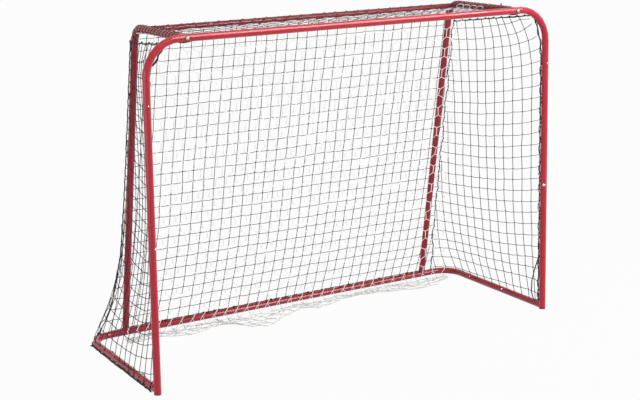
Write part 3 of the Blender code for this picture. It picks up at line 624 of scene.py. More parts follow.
def round_base(x, y):
    """Keeps a point of the back net on the base corners' round."""
    past_bend = abs(x) - (POST_X - BASE_CORNER_RADIUS)
    if past_bend <= 0:
        return y
    corner = BASE_CORNER_RADIUS + NET_PLANE
    return min(y, FLOOR_DEPTH - BASE_CORNER_RADIUS + math.sqrt(max(corner**2 - past_bend**2, 0)))


def back_profile():
    """Side view of the black net: up the back, over the top bar and forward to the crossbar."""
    points = [Vector((0, back_plane(height), height)) for height in (NET_FOOT, NET_KNEE)]
    for degrees in (35, 60, 90):
        angle = math.radians(degrees)
        out = Vector((0, math.cos(angle), math.sin(angle)))
        points.append(Vector((0, TOP_BAR.y, TOP_BAR.z)) + out * TOP_NET_WRAP)
    return [*points, TOP_NET_FRONT]


BACK_PROFILE = back_profile()
BACK_RISE = path_length(BACK_PROFILE[:2]) / NET_MESH
BACK_ROWS = math.floor(path_length(BACK_PROFILE) / NET_MESH)


def seam_x(side_name, height):
    share = min(max((CROSSBAR_Z - height) / CROSSBAR_Z, 0), 1)
    flare = SEAM_FLARE[side_name] * share**SEAM_FLARE_POWER
    return REAR_X + SEAM_START[side_name] + SEAM_DRIFT[side_name] * share + flare


def column_shift(height):
    """The columns lean with height, the more near the floor."""
    pull = max(0, (NET_PULL_HEIGHT - height) / NET_PULL_HEIGHT)
    return -NET_DRIFT * max(0, NET_TRUE_ABOVE - height) - NET_PULL * pull**2


def slide_across(x, height):
    """The net is pulled to the right across the middle, most of all at the upper right."""
    across = x / REAR_X
    return max(1 - across**4, 0) * (NET_SLIDE + NET_SLIDE_SLOPE * x * (height - NET_SLIDE_LEVEL))


def back_place(column, row):
    point = along_path(BACK_PROFILE, row * NET_MESH)
    on_back = row <= BACK_RISE
    height = point.z if on_back else CROSSBAR_Z
    point.x = NET_FIRST_X + NET_MESH * column + column_shift(height)
    point.x += slide_across(point.x, height)
    if on_back:
        point.y = round_base(point.x, point.y)
        to_right = min(max(0, (point.x - NET_DIP_START_X) / NET_DIP_WIDTH), 1)
        point.z -= NET_DIP * to_right * min(row / 3, 1) * max(0, 1 - height / NET_TRUE_ABOVE)
        belly = math.sin(math.pi * row / BACK_RISE)
        point += stray(point, BACK_WANDER, BACK_WANDER_GRAIN) * belly
        point.z -= BACK_SAG * math.sin(math.pi * (point.x + REAR_X) / 2 / REAR_X) * belly
    else:
        share = (row - BACK_RISE) / (BACK_ROWS - BACK_RISE)
        point.z -= TOP_SAG * math.sin(math.pi * share)
        point.x += TOP_WANDER * noise.noise(Vector((point.x * 9, point.y * 9, 3)))
    return point


def back_column(x, height):
    return (x - column_shift(height) - NET_FIRST_X) / NET_MESH


def back_edge(side_name, side):
    """The net's cut edge on one side, in columns, at each row."""

    def edge(row):
        point = along_path(BACK_PROFILE, row * NET_MESH)
        if row <= BACK_RISE:
            return back_column(side * seam_x(side_name, point.z), point.z)
        return back_column(side * TOP_NET_EDGE_X, CROSSBAR_Z)

    return edge


def front_edge(side_name, height):
    """Where the mouth cord holds a side net: behind the post and across its bend."""
    return Vector((between(MOUTH_CORNER[side_name], height), MOUTH_INSIDE, height))


def side_point(side_name, share, height):
    """A point of a side net at a share of the way from the post to the seam."""
    start = front_edge(side_name, height)
    end = Vector((seam_x(side_name, height), 0, height))
    end.y = round_base(end.x, back_plane(height))
    chord = start.lerp(end, share)
    level = height / SIDE_TOP_REAR[side_name]
    chord.x -= SIDE_DRAW[side_name] * math.sin(math.pi * share) * math.sin(math.pi * min(level, 1))
    rail = rail_point(share, end.x)
    return chord.lerp(Vector((rail.x, rail.y, height)), max(1 - level, 0) ** SIDE_WRAP_POWER)


def rail_point(share, end_x):
    """The outer line of the rail and its base corner, from the post to the seam."""
    centre = Vector((POST_X - BASE_CORNER_RADIUS, FLOOR_DEPTH - BASE_CORNER_RADIUS, 0))
    radius = BASE_CORNER_RADIUS + RAIL_WRAP
    turn = math.acos(min(max((end_x - centre.x) / radius, -1), 1))
    distance = share * (centre.y + radius * turn)
    if distance <= centre.y:
        ease = min(distance / RAIL_START_LENGTH, 1)
        x = POST_X - RAIL_START_INSIDE + (RAIL_WRAP + RAIL_START_INSIDE) * ease
        return Vector((x, RAIL_START_Y + distance * RAIL_DRAWN_IN, 0))
    angle = (distance - centre.y) / radius
    return centre + Vector((math.cos(angle), math.sin(angle), 0)) * radius


def side_length(side_name, height):
    end = Vector((seam_x(side_name, height), back_plane(height), height))
    return (end - front_edge(side_name, height)).length


def side_height(side_name, share, row):
    """Rows rise towards the post, the more the higher they are, and on the left sag between."""
    rear = SEAM_ROW_START + SEAM_ROW_PITCH * row
    front = POST_ROW_START + POST_ROW_PITCH * row
    high_row = max(0, (row - SIDE_ROWS + CORNER_LIFT_ROWS) / CORNER_LIFT_ROWS) ** 2
    low_row = math.exp(-(((row - LOW_LIFT_ROW) / LOW_LIFT_ROWS) ** 2))
    lift = CORNER_LIFT * high_row * max(0, 1 - share / CORNER_LIFT_SHARE) ** 2
    lift += POST_LIFT * math.exp(-share / POST_LIFT_SHARE) * min(row / 3, 1)
    lift += LOW_LIFT * low_row * math.sin(math.pi * share) ** 0.5
    middle_rows = math.sin(math.pi * min(row / SIDE_ROWS, 1)) ** 0.6
    bow = math.sin(math.pi * share**0.66) - 0.8 * (1 - share) ** 4
    sag = SIDE_SAG[side_name] * middle_rows * bow
    height = rear + (front - rear) * (1 - share) ** SIDE_RISE[side_name] + lift - sag
    return min(height, side_top(side_name, share) - TOP_ROWS_GAP * (SIDE_ROWS + 1 - row))


def side_top(side_name, share):
    return SIDE_TOP_FRONT[side_name] + (SIDE_TOP_REAR[side_name] - SIDE_TOP_FRONT[side_name]) * share


def side_distance(column, height):
    """How far a column stands from the post, with the net's pull at the foot and at the top corner."""
    distance = SIDE_MESH * column - SIDE_START
    distance += HIGH_STRETCH * max(0, height - HIGH_STRETCH_FROM) * distance
    foot = max(0, (FOOT_PULL_HEIGHT - height) / FOOT_PULL_HEIGHT) ** 0.7
    distance -= FOOT_PULL * foot * (1 - math.exp(-distance / FOOT_PULL_WIDTH))
    corner = max(0, (height - CORNER_PULL_FROM) / CORNER_PULL_HEIGHT) ** 1.5
    near_corner = math.exp(-(((distance - CORNER_PULL_PLACE) / CORNER_PULL_WIDTH) ** 2))
    return distance + CORNER_PULL * corner * near_corner


# Nodes that the finishes, the floor and the studio share


class NodeTree:
    """A node tree with a short call for each kind of node that is used more than once."""

    def __init__(self, tree):
        self.nodes = tree.nodes
        self.links = tree.links

    def put(self, socket, value):
        """Joins a socket to another node's output, or gives it a value."""
        if isinstance(value, bpy.types.NodeSocket):
            self.links.new(value, socket)
        else:
            socket.default_value = value

    def node(self, kind, inputs, **settings):
        node = self.nodes.new(f"ShaderNode{kind}")
        for name, value in settings.items():
            setattr(node, name, value)
        for name, value in inputs.items():
            self.put(node.inputs[name], value)
        return node

    def math(self, operation, *values):
        return self.node("Math", dict(enumerate(values)), operation=operation).outputs[0]

    def axes(self, vector):
        return self.node("SeparateXYZ", {"Vector": vector}).outputs

    def share(self, value, low, high, most=1.0):
        """0 where the value is low, and as much as most where it is high."""
        limits = {"Value": value, "From Min": low, "From Max": high, "To Max": most}
        return self.node("MapRange", limits).outputs["Result"]

    def noise(self, source, scale, detail=2.0, roughness=0.5):
        inputs = {"Vector": source, "Scale": scale, "Detail": detail, "Roughness": roughness}
        return self.node("TexNoise", inputs).outputs["Fac"]

    def mix(self, factor, one, two):
        return self.node("Mix", {"Factor": factor, "A": one, "B": two}, data_type="RGBA").outputs["Result"]

    def ramp(self, source, low, high, low_colour, high_colour):
        ramp = self.node("ValToRGB", {"Fac": source})
        first, last = ramp.color_ramp.elements
        first.position, last.position = low, high
        first.color, last.color = low_colour, high_colour
        return ramp.outputs["Color"]

    def seen(self):
        """1 on what the camera, a reflection or glass shows, 0 on what only lights."""
        path = self.node("LightPath", {})
        total = path.outputs["Is Camera Ray"]
        for name in ("Is Glossy Ray", "Is Transmission Ray"):
            values = {0: total, 1: path.outputs[name]}
            total = self.node("Math", values, operation="ADD", use_clamp=True).outputs[0]
        return total

    def mix_shaders(self, share, one, two, surface):
        """Mixes two shaders by a share and gives them to a surface."""
        self.put(surface, self.node("MixShader", {"Fac": share, 1: one, 2: two}).outputs["Shader"])


class Finish(NodeTree):
    """A new material and its shader."""

    def __init__(self, name):
        self.material = bpy.data.materials.new(name)
        self.material.use_nodes = True
        super().__init__(self.material.node_tree)
        self.shader = self.nodes["Principled BSDF"]

    def place(self):
        return self.node("TexCoord", {}).outputs["Object"]

    def give(self, looks):
        """Sets the shader's inputs."""
        for name, value in looks.items():
            self.put(self.shader.inputs[name], value)

    def bump(self, height, strength, distance):
        inputs = {"Height": height, "Strength": strength, "Distance": distance}
        self.give({"Normal": self.node("Bump", inputs).outputs["Normal"]})


# Finishes


def grey(value):
    return (value, value, value, 1)


def darker(colour, share):
    return tuple(channel * share for channel in colour[:3]) + (1,)


def powder_coat(name, colour, painted_rear_shade):
    """Red powder coat, made deeper behind the mouth by painted shade: orange peel, cloudy gloss and scuffs
    towards the floor.
    """
    finish = Finish(name)
    place = finish.place()
    x, y, z = finish.axes(place)
    cloud = finish.noise(place, 7, 3)
    body = finish.ramp(cloud, 0.3, 0.7, darker(colour, 0.9), darker(colour, 1.06))
    specks = finish.ramp(finish.noise(place, 210, 6, 0.7), 0.6, 0.72, grey(0), grey(0.5))
    scuffs = finish.math("MULTIPLY", specks, finish.share(z, 0.16, 0.0))
    body = finish.mix(scuffs, body, darker(colour, 0.35))
    seam_half_width = 0.0007
    for axis, seam in ((x, 0.0), (z, UPPER_SEAM_Z), (z, LOWER_SEAM_Z)):
        body = finish.mix(finish.math("COMPARE", axis, seam, seam_half_width), body, darker(colour, 0.2))
    # Painted shade: behind the mouth the red is mixed towards a much deeper red, standing in for the shade
    # that falls on the rear tubes.
    behind = finish.share(y, MOUTH_Y + 0.012, MOUTH_Y + 0.03, painted_rear_shade)
    gloss = finish.noise(place, 35, 4)
    finish.give(
        {
            "Base Color": finish.mix(behind, body, darker(colour, 0.2)),
            "Roughness": finish.ramp(gloss, 0.3, 0.75, grey(0.25), grey(0.38)),
            "Specular IOR Level": 0.2,
            "Coat Weight": 0.5,
            "Coat Roughness": 0.07,
        }
    )
    finish.bump(finish.noise(place, 620, 2), 0.25, 0.0002)
    return finish.material


def plated_metal(name, colour, low_gloss, high_gloss, scale):
    finish = Finish(name)
    place = finish.place()
    cloud = finish.noise(place, scale, 4)
    finish.give(
        {
            "Base Color": finish.ramp(cloud, 0.3, 0.7, darker(colour, 0.8), darker(colour, 1.05)),
            "Roughness": finish.ramp(cloud, 0.3, 0.8, grey(low_gloss), grey(high_gloss)),
            "Metallic": 1,
        }
    )
    finish.bump(finish.noise(place, scale * 6, 2), 0.2, 0.0001)
    return finish.material


def moulded_plastic(name, colour):
    finish = Finish(name)
    place = finish.place()
    grain = finish.noise(place, 900, 3)
    cloud = finish.noise(place, 40, 2)
    finish.give(
        {
            "Base Color": finish.ramp(cloud, 0.3, 0.7, darker(colour, 0.85), darker(colour, 1.1)),
            "Roughness": finish.ramp(grain, 0.3, 0.8, grey(0.42), grey(0.6)),
        }
    )
    finish.bump(grain, 0.3, 0.0001)
    return finish.material


def twine(name, colour, lay, sheen, painted_glow):
    """Twisted twine: strands wind along the piece's own UV, with fibre noise over them.

    Thread with a painted glow, which stands in for light passing through it, loses that glow at the floor
    and is painted darker there: painted shade where the pile lies in its own shadow.
    """
    finish = Finish(name)
    place = finish.place()
    lay_map = finish.node("UVMap", {}, uv_map="lay").outputs["UV"]
    around, along, _ = finish.axes(lay_map)
    turns = finish.math("MULTIPLY", around, 6 * math.pi)
    wave = finish.math("SINE", finish.math("MULTIPLY_ADD", along, 2 * math.pi / lay, turns))
    level = finish.share(wave, -1, 1)
    # Painted shade: where the lay's bump is low, in the grooves between the plies, the twine is painted
    # darker.
    strand = finish.ramp(level, 0.1, 0.8, darker(colour, 0.78), darker(colour, 1.0))
    dust = finish.ramp(finish.noise(place, 12, 3), 0.5, 0.9, grey(0), grey(0.3))
    body = finish.mix(dust, strand, darker(colour, 0.85))
    if painted_glow:
        # Painted shade at the floor: below a few centimetres the thread is painted darker and its painted
        # glow fades out.
        foot = finish.share(finish.axes(place)["Z"], 0.035, 0.012)
        body = finish.mix(foot, body, darker(colour, 0.93))
        glow = finish.math("MULTIPLY_ADD", foot, -painted_glow, painted_glow)
        finish.give({"Emission Strength": glow, "Emission Color": (*colour[:3], 1)})
    fibre = finish.noise(place, 1500, 3)
    finish.give(
        {
            "Base Color": body,
            "Roughness": finish.ramp(fibre, 0.2, 0.8, grey(0.62), grey(0.85)),
            "Specular IOR Level": 0.25,
            "Sheen Weight": sheen,
        }
    )
    finish.bump(level, 0.6, 0.0004)
    return finish.material


def material_of(name, make, *values):
    """Each finish is made once and shared."""
    return bpy.data.materials.get(name) or make(name, *values)


def red_paint():
    settings = bpy.context.scene.goal_finish
    return material_of("red_powder_coat", powder_coat, settings.paint, settings.painted_rear_shade)


def black_twine():
    return material_of("black_twine", twine, bpy.context.scene.goal_finish.black, 0.006, 0.0, 0)


def white_thread():
    # The last value is the strength of the thread's painted glow.
    return material_of("white_thread", twine, bpy.context.scene.goal_finish.white, 0.007, 0.2, 0.31)


def zinc():
    return material_of("bright_zinc", plated_metal, (0.72, 0.70, 0.66), 0.25, 0.45, 160)


def yellow_zinc():
    return material_of("yellow_zinc", plated_metal, (0.56, 0.46, 0.30), 0.3, 0.5, 160)


def dark_steel():
    return material_of("blackened_steel", plated_metal, (0.035, 0.028, 0.026), 0.5, 0.7, 220)


def spring_steel():
    return material_of("spring_steel", plated_metal, (0.42, 0.42, 0.44), 0.3, 0.5, 90)


def black_plastic():
    return material_of("black_plastic", moulded_plastic, (0.02, 0.02, 0.022))


def pale_plastic():
    return material_of("pale_plastic", moulded_plastic, (0.66, 0.63, 0.56))


# Frame finishes and the black nets


class GOAL_OT_finish_frame(bpy.types.Operator):
    """Gives every tube, fastener, button and cap its finish"""

    bl_idname = "goal.finish_frame"
    bl_label = "Finish the frame"

    def execute(self, context):
        kinds = {
            red_paint(): ("crossbar", "top_", "post", "foot_rail", "base_corner", "back_bar", "rear_"),
            yellow_zinc(): ("crossbar_bolt",),
            dark_steel(): ("crossbar_washer", "arm_plug"),
            zinc(): ("net_bolt", "net_nut", "rail_screw", "button"),
            spring_steel(): ("leaf_spring",),
            black_plastic(): ("foot_cap",),
            black_twine(): ("net", "mouth_rope", "seam_rope"),
            white_thread(): ("drop",),
        }
        finishes = {kind: finish for finish, names in kinds.items() for kind in names}
        for name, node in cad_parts.items():
            kind = max((kind for kind in finishes if name.startswith(kind)), key=len, default=None)
            if kind is None:
                raise RuntimeError(f"{name} has no finish")
            for slot in node.material_slots:
                slot.material = finishes[kind]
        return {"FINISHED"}


class GOAL_OT_black_back_net(bpy.types.Operator):
    """Knots the black net down the back and over the top bar to the crossbar"""

    bl_idname = "goal.black_back_net"
    bl_label = "Black back and top net"

    def execute(self, context):
        settings = context.scene.goal_net
        rows = list(range(BACK_ROWS + 1))
        grid = Grid(back_place, back_edge("left", -1), back_edge("right", 1), settings, settings.seed)
        split = math.ceil(BACK_RISE)
        back = Strands()
        grid.build(back, rows[: split + 1], NET_COLUMNS)
        back.piece("black_back_net", black_twine(), "black_twine", ["net_back"])
        top = Strands()
        grid.build(top, rows[split:], NET_COLUMNS, TOP_NET_THICKNESS)
        top.piece("black_top_net", black_twine(), "black_twine", ["net_top"])
        return {"FINISHED"}


class GOAL_OT_black_side_nets(bpy.types.Operator):
    """Knots the black nets from the posts back to the seams"""

    bl_idname = "goal.black_side_nets"
    bl_label = "Black side nets"

    def execute(self, context):
        settings = context.scene.goal_net
        for order, (side_name, side) in enumerate(SIDES):
            self.side_net(side_name, side, settings, settings.seed + 1 + order)
        return {"FINISHED"}

    def side_net(self, side_name, side, settings, seed):
        def place(column, row):
            height = row_height(row)
            share = 0
            for _ in range(3):
                share = min(side_distance(column, height) / side_length(side_name, height), 1.0)
                height = row_height(row, share)
            point = side_point(side_name, share, height)
            apart = Vector((side, 0, 0))
            point += stray(point + apart, SIDE_WANDER, SIDE_WANDER_GRAIN) * math.sin(math.pi * share)
            return Vector((side * point.x, point.y, point.z))

        def row_height(row, share=0.5):
            if row < 1:
                return SIDE_FOOT
            return side_top(side_name, share) if row > SIDE_ROWS else side_height(side_name, share, row)

        def post_edge(row):
            return SIDE_START / SIDE_MESH

        def seam_edge(row):
            height = row_height(row, 1.0)
            length = side_length(side_name, height)
            column = length / SIDE_MESH
            for _ in range(6):
                column += (length - side_distance(column, height)) / SIDE_MESH
            return column

        grid = Grid(place, post_edge, seam_edge, settings, seed)
        strands = Strands()
        grid.build(strands, range(SIDE_ROWS + 2), SIDE_COLUMNS)
        strands.piece(f"black_{side_name}_net", black_twine(), "black_twine", [f"net_{side_name}"])


# Cords of the black net


class GOAL_OT_seam_cords(bpy.types.Operator):
    """Runs a cord down each seam between the back and side nets"""

    bl_idname = "goal.seam_cords"
    bl_label = "Seam cords"

    def execute(self, context):
        draws = random.Random(37)
        steps = 96
        for side_name, side in SIDES:
            top = SIDE_TOP_REAR[side_name] + SEAM_ABOVE_SIDE
            line = []
            for step in range(steps + 1):
                height = top - (top - SEAM_FOOT) * step / steps
                x = seam_x(side_name, height)
                wave = noise.noise(Vector((side * 7, 0, height * 14))) * SEAM_WAVE[side_name]
                scallop = SEAM_SCALLOP[side_name] * abs(math.sin(math.pi * height / NET_MESH))
                line.append(Vector((side * (x - scallop) + wave, round_base(x, back_plane(height)), height)))
            strands = Strands(6)
            strands.tube(line, CORD_RADIUS)
            if side < 0:
                for start, highest in ((1.0, 0.44), (4.1, 0.33)):
                    low = [point for point in line if point.z < highest]
                    spare = coil(low, CORD_RADIUS + 0.001, 0.23, draws, looseness=0.5, start=start)
                    strands.tube(spare, radius=0.0013)
            strands.piece(f"{side_name}_seam_cord", black_twine(), "black_twine", [f"seam_rope_{side_name}"])
        return {"FINISHED"}


class GOAL_OT_side_edges(bpy.types.Operator):
    """Edges the side nets: a bowed cord below each arm, with a knot at each bow's end"""

    bl_idname = "goal.side_edges"
    bl_label = "Side net edges"

    def execute(self, context):
        steps = 20
        knot_size = Vector((0.0045, 0.0036, 0.0036))
        for side_name, side in SIDES:
            line = []
            for step in range(steps + 1):
                share = 1 - step / steps
                point = side_point(side_name, share, side_top(side_name, share))
                line.append(Vector((side * point.x, point.y, point.z + 0.002)))
            strands = Strands(6)
            pitch = SIDE_MESH if side > 0 else 2 * SIDE_MESH
            strands.tube(scalloped(line, pitch, 0.07 * pitch), EDGE_CORD_RADIUS)
            bows = round(path_length(line) / pitch)
            for tie in range(bows + 1):
                place = along_path(line, path_length(line) * tie / bows)
                strands.knot(place, Vector((0, 0.3, 1)), Vector((1, 0, 0)), knot_size)
            strands.piece(f"{side_name}_edge_cord", black_twine(), "black_twine")
        return {"FINISHED"}


class GOAL_OT_mouth_cord(bpy.types.Operator):
    """Runs the cord that holds the net along the posts, their bends and the crossbar"""

    bl_idname = "goal.mouth_cord"
    bl_label = "Mouth cord"

    def execute(self, context):
        draws = random.Random(41)
        line = [Vector((-point.x, point.y, point.z)) for point in mouth_half("left", draws)]
        line += mouth_half("right", draws)[::-1]
        strands = Strands(8)
        strands.tube(line, MOUTH_CORD_RADIUS)
        knot_size = Vector((0.0042, 0.0034, 0.0034))
        for side_name, side in SIDES:
            near = [point for point in line if side * point.x > WRAP_FROM_X]
            wrap = coil(near, CORD_RADIUS + WRAP_RADIUS, 0.075, draws, looseness=0.7)
            strands.tube(wrap, WRAP_RADIUS)
            height = FIRST_TIE
            while height < LAST_TIE:
                place = front_edge(side_name, height)
                place.x *= side
                strands.knot(place, Vector((0, 0, 1)), Vector((1, 0, 0)), knot_size)
                height += POST_ROW_PITCH * draws.uniform(0.9, 1.1)
        foot_loop = [Vector((POST_X - MOUTH_INSIDE - x, MOUTH_INSIDE + y, z)) for x, y, z in FOOT_LOOP]
        strands.tube(foot_loop, CORD_RADIUS)
        strands.piece("mouth_cord", black_twine(), "black_twine", ["mouth_rope"])
        return {"FINISHED"}


def mouth_half(side_name, draws):
    """From one foot up behind the post, across its bend and along behind the crossbar to the middle."""
    half = []
    height = 0.03
    while height < 1.146:
        place = front_edge(side_name, height)
        place.x += draws.uniform(-0.001, 0.001)
        half.append(place)
        height += 0.02 if height < 0.96 else 0.012
    behind = math.radians(40)
    arm_dip = 0.0035
    x = half[-1].x - 0.02
    while x > 0:
        under_arm = math.exp(-(((x - REAR_X) / 0.02) ** 4))
        drop = MOUTH_ROPE_REACH * math.cos(behind) + arm_dip * under_arm
        half.append(Vector((x, MOUTH_ROPE_REACH * math.sin(behind), CROSSBAR_Z - drop)))
        x -= 0.01 if abs(x - REAR_X) < 0.06 else 0.04
    return half


class GOAL_OT_bottom_cord(bpy.types.Operator):
    """Runs the nets' bottom cord round the outside of the rails and the back bar, with its ties"""

    bl_idname = "goal.bottom_cord"
    bl_label = "Bottom cord"

    def execute(self, context):
        out = TUBE_RADIUS + CORD_GAP
        across = POST_X + out
        rear = FLOOR_DEPTH + out
        strands = Strands(6)
        strands.tube(self.bowed_line(across, rear, out), BOTTOM_CORD_RADIUS)
        for side in (-1, 1):
            tie = [
                front_edge("left", 0.075),
                Vector((POST_X - 0.004, 0.026, 0.045)),
                Vector((POST_X + 0.012, 0.03, 0.024)),
                Vector((across, 0.034, 0.008)),
            ]
            strands.tube([Vector((side * place.x, place.y, place.z)) for place in tie], radius=0.0018)
        knot_size = Vector((0.0075, 0.0034, 0.004))
        for x in BACK_BAR_TIES:
            place = Vector((x, FLOOR_DEPTH + 0.004, 2 * TUBE_RADIUS + 0.0018))
            strands.knot(place, Vector((1, 0.4, 0.1)), Vector((0, 0, 1)), knot_size)
            tail = [place, place + Vector((0.004, 0.011, -0.002)), Vector((x + 0.002, rear + 0.0008, 0.012))]
            strands.tube(tail, radius=0.0012)
        for x, y, size in CORNER_LOOPS:
            width, length = Vector((0.4 * size, 0, 0)), Vector((0, size, 0))
            spare = loop(Vector((x, y, 0.004)), width, length, steps=14, rise=0.002)
            strands.tube(spare, radius=0.0014)
        strands.piece("bottom_cord", black_twine(), "black_twine")
        return {"FINISHED"}

    def bowed_line(self, across, rear, out):
        """From the left foot round both base corners to the right foot, in small bows above the floor."""
        line = []
        for side in (-1, 1):
            foot = Vector((side * across, 0.022, BOTTOM_CORD_Z))
            corner = Vector((side * across, rear, BOTTOM_CORD_Z))
            middle_rear = Vector((0, rear, BOTTOM_CORD_Z))
            run = [foot, *bend(foot, corner, middle_rear, BASE_CORNER_RADIUS + out)]
            line += run if side < 0 else run[::-1]
        total = path_length(line)
        steps = round(total / BOTTOM_STEP)
        bowed = []
        for step in range(steps + 1):
            point = along_path(line, total * step / steps)
            lift = BOTTOM_BOW * abs(math.sin(math.pi * step * BOTTOM_STEP / BOTTOM_BOW_PITCH))
            bowed.append(point + Vector((0, 0, lift)) + stray(point, BOTTOM_WANDER, BOTTOM_WANDER_GRAIN))
            bowed[-1].z = max(bowed[-1].z, BOTTOM_CORD_RADIUS + 0.001)
        return bowed


class GOAL_OT_lashings(bpy.types.Operator):
    """Laces the black net to the arms and the top bar, and lays slack strands along the base"""

    bl_idname = "goal.lashings"
    bl_label = "Lashings"

    def execute(self, context):
        draws = random.Random(47)
        for side_name, side in SIDES:
            front = Vector((side * REAR_X, 0.03, CROSSBAR_Z))
            corner = Vector((side * REAR_X, 0.4, CROSSBAR_Z))
            foot = Vector((side * REAR_X, FLOOR_DEPTH, TUBE_RADIUS))
            arm = [front, *bend(front, corner, foot, ARM_BEND_RADIUS)]
            self.lash(f"{side_name}_arm_lashing", arm, draws, turns=3, pitch=0.07, radius=0.0009)
        strands = Strands(5)
        rail = [Vector((-POST_X, y, TUBE_RADIUS)) for y in (0.035, 0.53)]
        for order, level in enumerate((200, 222, 240, 183)):
            strands.tube(slack_along(*rail, level, gap=0.0026, seed=order), radius=0.0015)
        back_bar = [Vector((x, FLOOR_DEPTH, TUBE_RADIUS)) for x in (-0.66, 0.66)]
        for order, level in enumerate((92, 72)):
            strands.tube(slack_along(*back_bar, level, gap=CORD_GAP, seed=5 + order), radius=0.0011)
        strands.piece("base_lashing", black_twine(), "black_twine")
        bar = [Vector((x, TOP_BAR.y, TOP_BAR.z)) for x in (-LACED_X, LACED_X)]
        self.lash("top_bar_lashing", bar, draws, turns=2, pitch=0.098, radius=0.0008)
        return {"FINISHED"}

    def lash(self, name, tube, draws, turns, pitch, radius):
        """Twines wound round a tube side by side."""
        strands = Strands(5)
        for turn in range(turns):
            start = 2 * math.pi * turn / turns
            wound = coil(tube, TUBE_RADIUS + CORD_GAP, pitch, draws, looseness=0.04, start=start)
            strands.tube(wound, radius)
        strands.piece(name, black_twine(), "black_twine")


# Clips and springs


def start_shaping():
    """Takes the new primitive into edit mode, selected all over."""
    bpy.ops.object.mode_set(mode="EDIT")
    bpy.ops.mesh.select_all(action="SELECT")


def end_shaping():
    """Turns the shaped piece's normals outwards, applies its place and smooths it."""
    bpy.ops.mesh.select_all(action="SELECT")
    bpy.ops.mesh.normals_make_consistent(inside=False)
    bpy.ops.object.mode_set(mode="OBJECT")
    bpy.ops.object.transform_apply(location=True, rotation=True, scale=True)
    bpy.ops.object.shade_smooth_by_angle(angle=math.radians(40))
    return bpy.context.object


def extrude(along, outward=0, steps=1):
    """Draws the selected end out along X and Z in equal steps."""
    for _ in range(steps):
        step = (along / steps, 0, outward / steps)
        bpy.ops.mesh.extrude_region_move(TRANSFORM_OT_translate={"value": step})


def set_copy(model, name, place, material):
    """Sets a copy of a modelled piece, with its own mesh, in its place."""
    copy = model.copy()
    copy.data = model.data.copy()
    copy.name = name
    bpy.context.scene.collection.objects.link(copy)
    copy.data.transform(place)
    copy.data.materials.clear()
    copy.data.materials.append(material)
    return copy


class GOAL_OT_net_clips(bpy.types.Operator):
    """Models the pale clips that hold the mouth cord against the posts, and sets them"""

    bl_idname = "goal.net_clips"
    bl_label = "Net clips"

    def execute(self, context):
        clip = model_clip()
        for side_name, side in SIDES:
            turn = Matrix.Rotation(math.radians(-45 if side > 0 else -135), 4, "Z")
            for order, height in enumerate(CLIP_HEIGHTS[side_name]):
                edge = front_edge(side_name, height)
                place = Matrix.Translation((side * edge.x, edge.y + MOUTH_Y, edge.z)) @ turn
                name = f"net_clip_{side_name}_{order + 1}"
                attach(set_copy(clip, name, place, pale_plastic()), "frame")
        bpy.data.objects.remove(clip)
        return {"FINISHED"}


def model_clip():
    """A flat open ring round the cord whose two feet stand on the post, at the origin and facing +X."""
    bpy.ops.object.select_all(action="DESELECT")
    bpy.ops.mesh.primitive_torus_add(
        major_segments=28, minor_segments=10, major_radius=CLIP_RING_RADIUS, minor_radius=CLIP_WIRE_RADIUS
    )
    start_shaping()
    bpy.ops.transform.resize(value=(1, 1, 2.1))
    bpy.ops.mesh.bisect(plane_co=(0.0012, 0, 0), plane_no=(1, 0, 0), use_fill=True, clear_outer=True)
    extrude(0.0006)
    bpy.ops.transform.resize(value=(1, 1.25, 1.35))
    extrude(0.0009)
    return end_shaping()


class GOAL_OT_leaf_springs(bpy.types.Operator):
    """Models the folded spring behind a button, and sets one at each button"""

    bl_idname = "goal.leaf_springs"
    bl_label = "Leaf springs"

    def execute(self, context):
        spring = model_spring()
        up = Vector((0, 0, 1))
        back = Vector((0, 1, 0))
        for side_name, side in SIDES:
            inward = Vector((-side * math.cos(RAIL_TURN), 0, math.sin(RAIL_TURN)))
            seams = {
                "upper": (Vector((side * POST_X, 0, UPPER_SEAM_Z)), up, -back),
                "lower": (Vector((side * POST_X, 0, LOWER_SEAM_Z)), -up, back),
                "rail": (Vector((side * POST_X, RAIL_LENGTH, TUBE_RADIUS)), back, inward),
            }
            for label, (seam, along, outward) in seams.items():
                axes = Matrix((along, outward.cross(along), outward)).transposed().to_4x4()
                centre = seam + along * BUTTON_TO_SEAM + Vector((0, MOUTH_Y, 0))
                place = Matrix.Translation(centre) @ axes
                name = f"folded_spring_{label}_{side_name}"
                copy = set_copy(spring, name, place, spring_steel())
                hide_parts(f"leaf_spring_{label}_{side_name}")
                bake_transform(copy)
        bpy.data.objects.remove(spring)
        return {"FINISHED"}


def model_spring():
    """A strip folded back on itself, its near arm's end under the button, its far arm's against the wall."""
    bpy.ops.object.select_all(action="DESELECT")
    near_end = (-BUTTON_FLANGE_RADIUS, 0, LEAF_NEAR)
    bpy.ops.mesh.primitive_plane_add(size=1, rotation=(0, math.pi / 2, 0), location=near_end)
    start_shaping()
    bpy.ops.transform.resize(value=(1, LEAF_WIDTH, LEAF_THICKNESS))
    extrude(2 * BUTTON_FLANGE_RADIUS, 0, 4)
    extrude(LEAF_FOLD - BUTTON_FLANGE_RADIUS, LEAF_FOLD_RADIUS - LEAF_NEAR, 12)
    turn = -math.pi / 8
    for _ in range(8):
        extrude(0)
        bpy.ops.transform.rotate(value=turn, orient_axis="Y", center_override=(LEAF_FOLD, 0, 0))
    extrude(-LEAF_FOLD - BUTTON_FLANGE_RADIUS, LEAF_FAR + LEAF_FOLD_RADIUS, 12)
    return end_shaping()


# Drop net


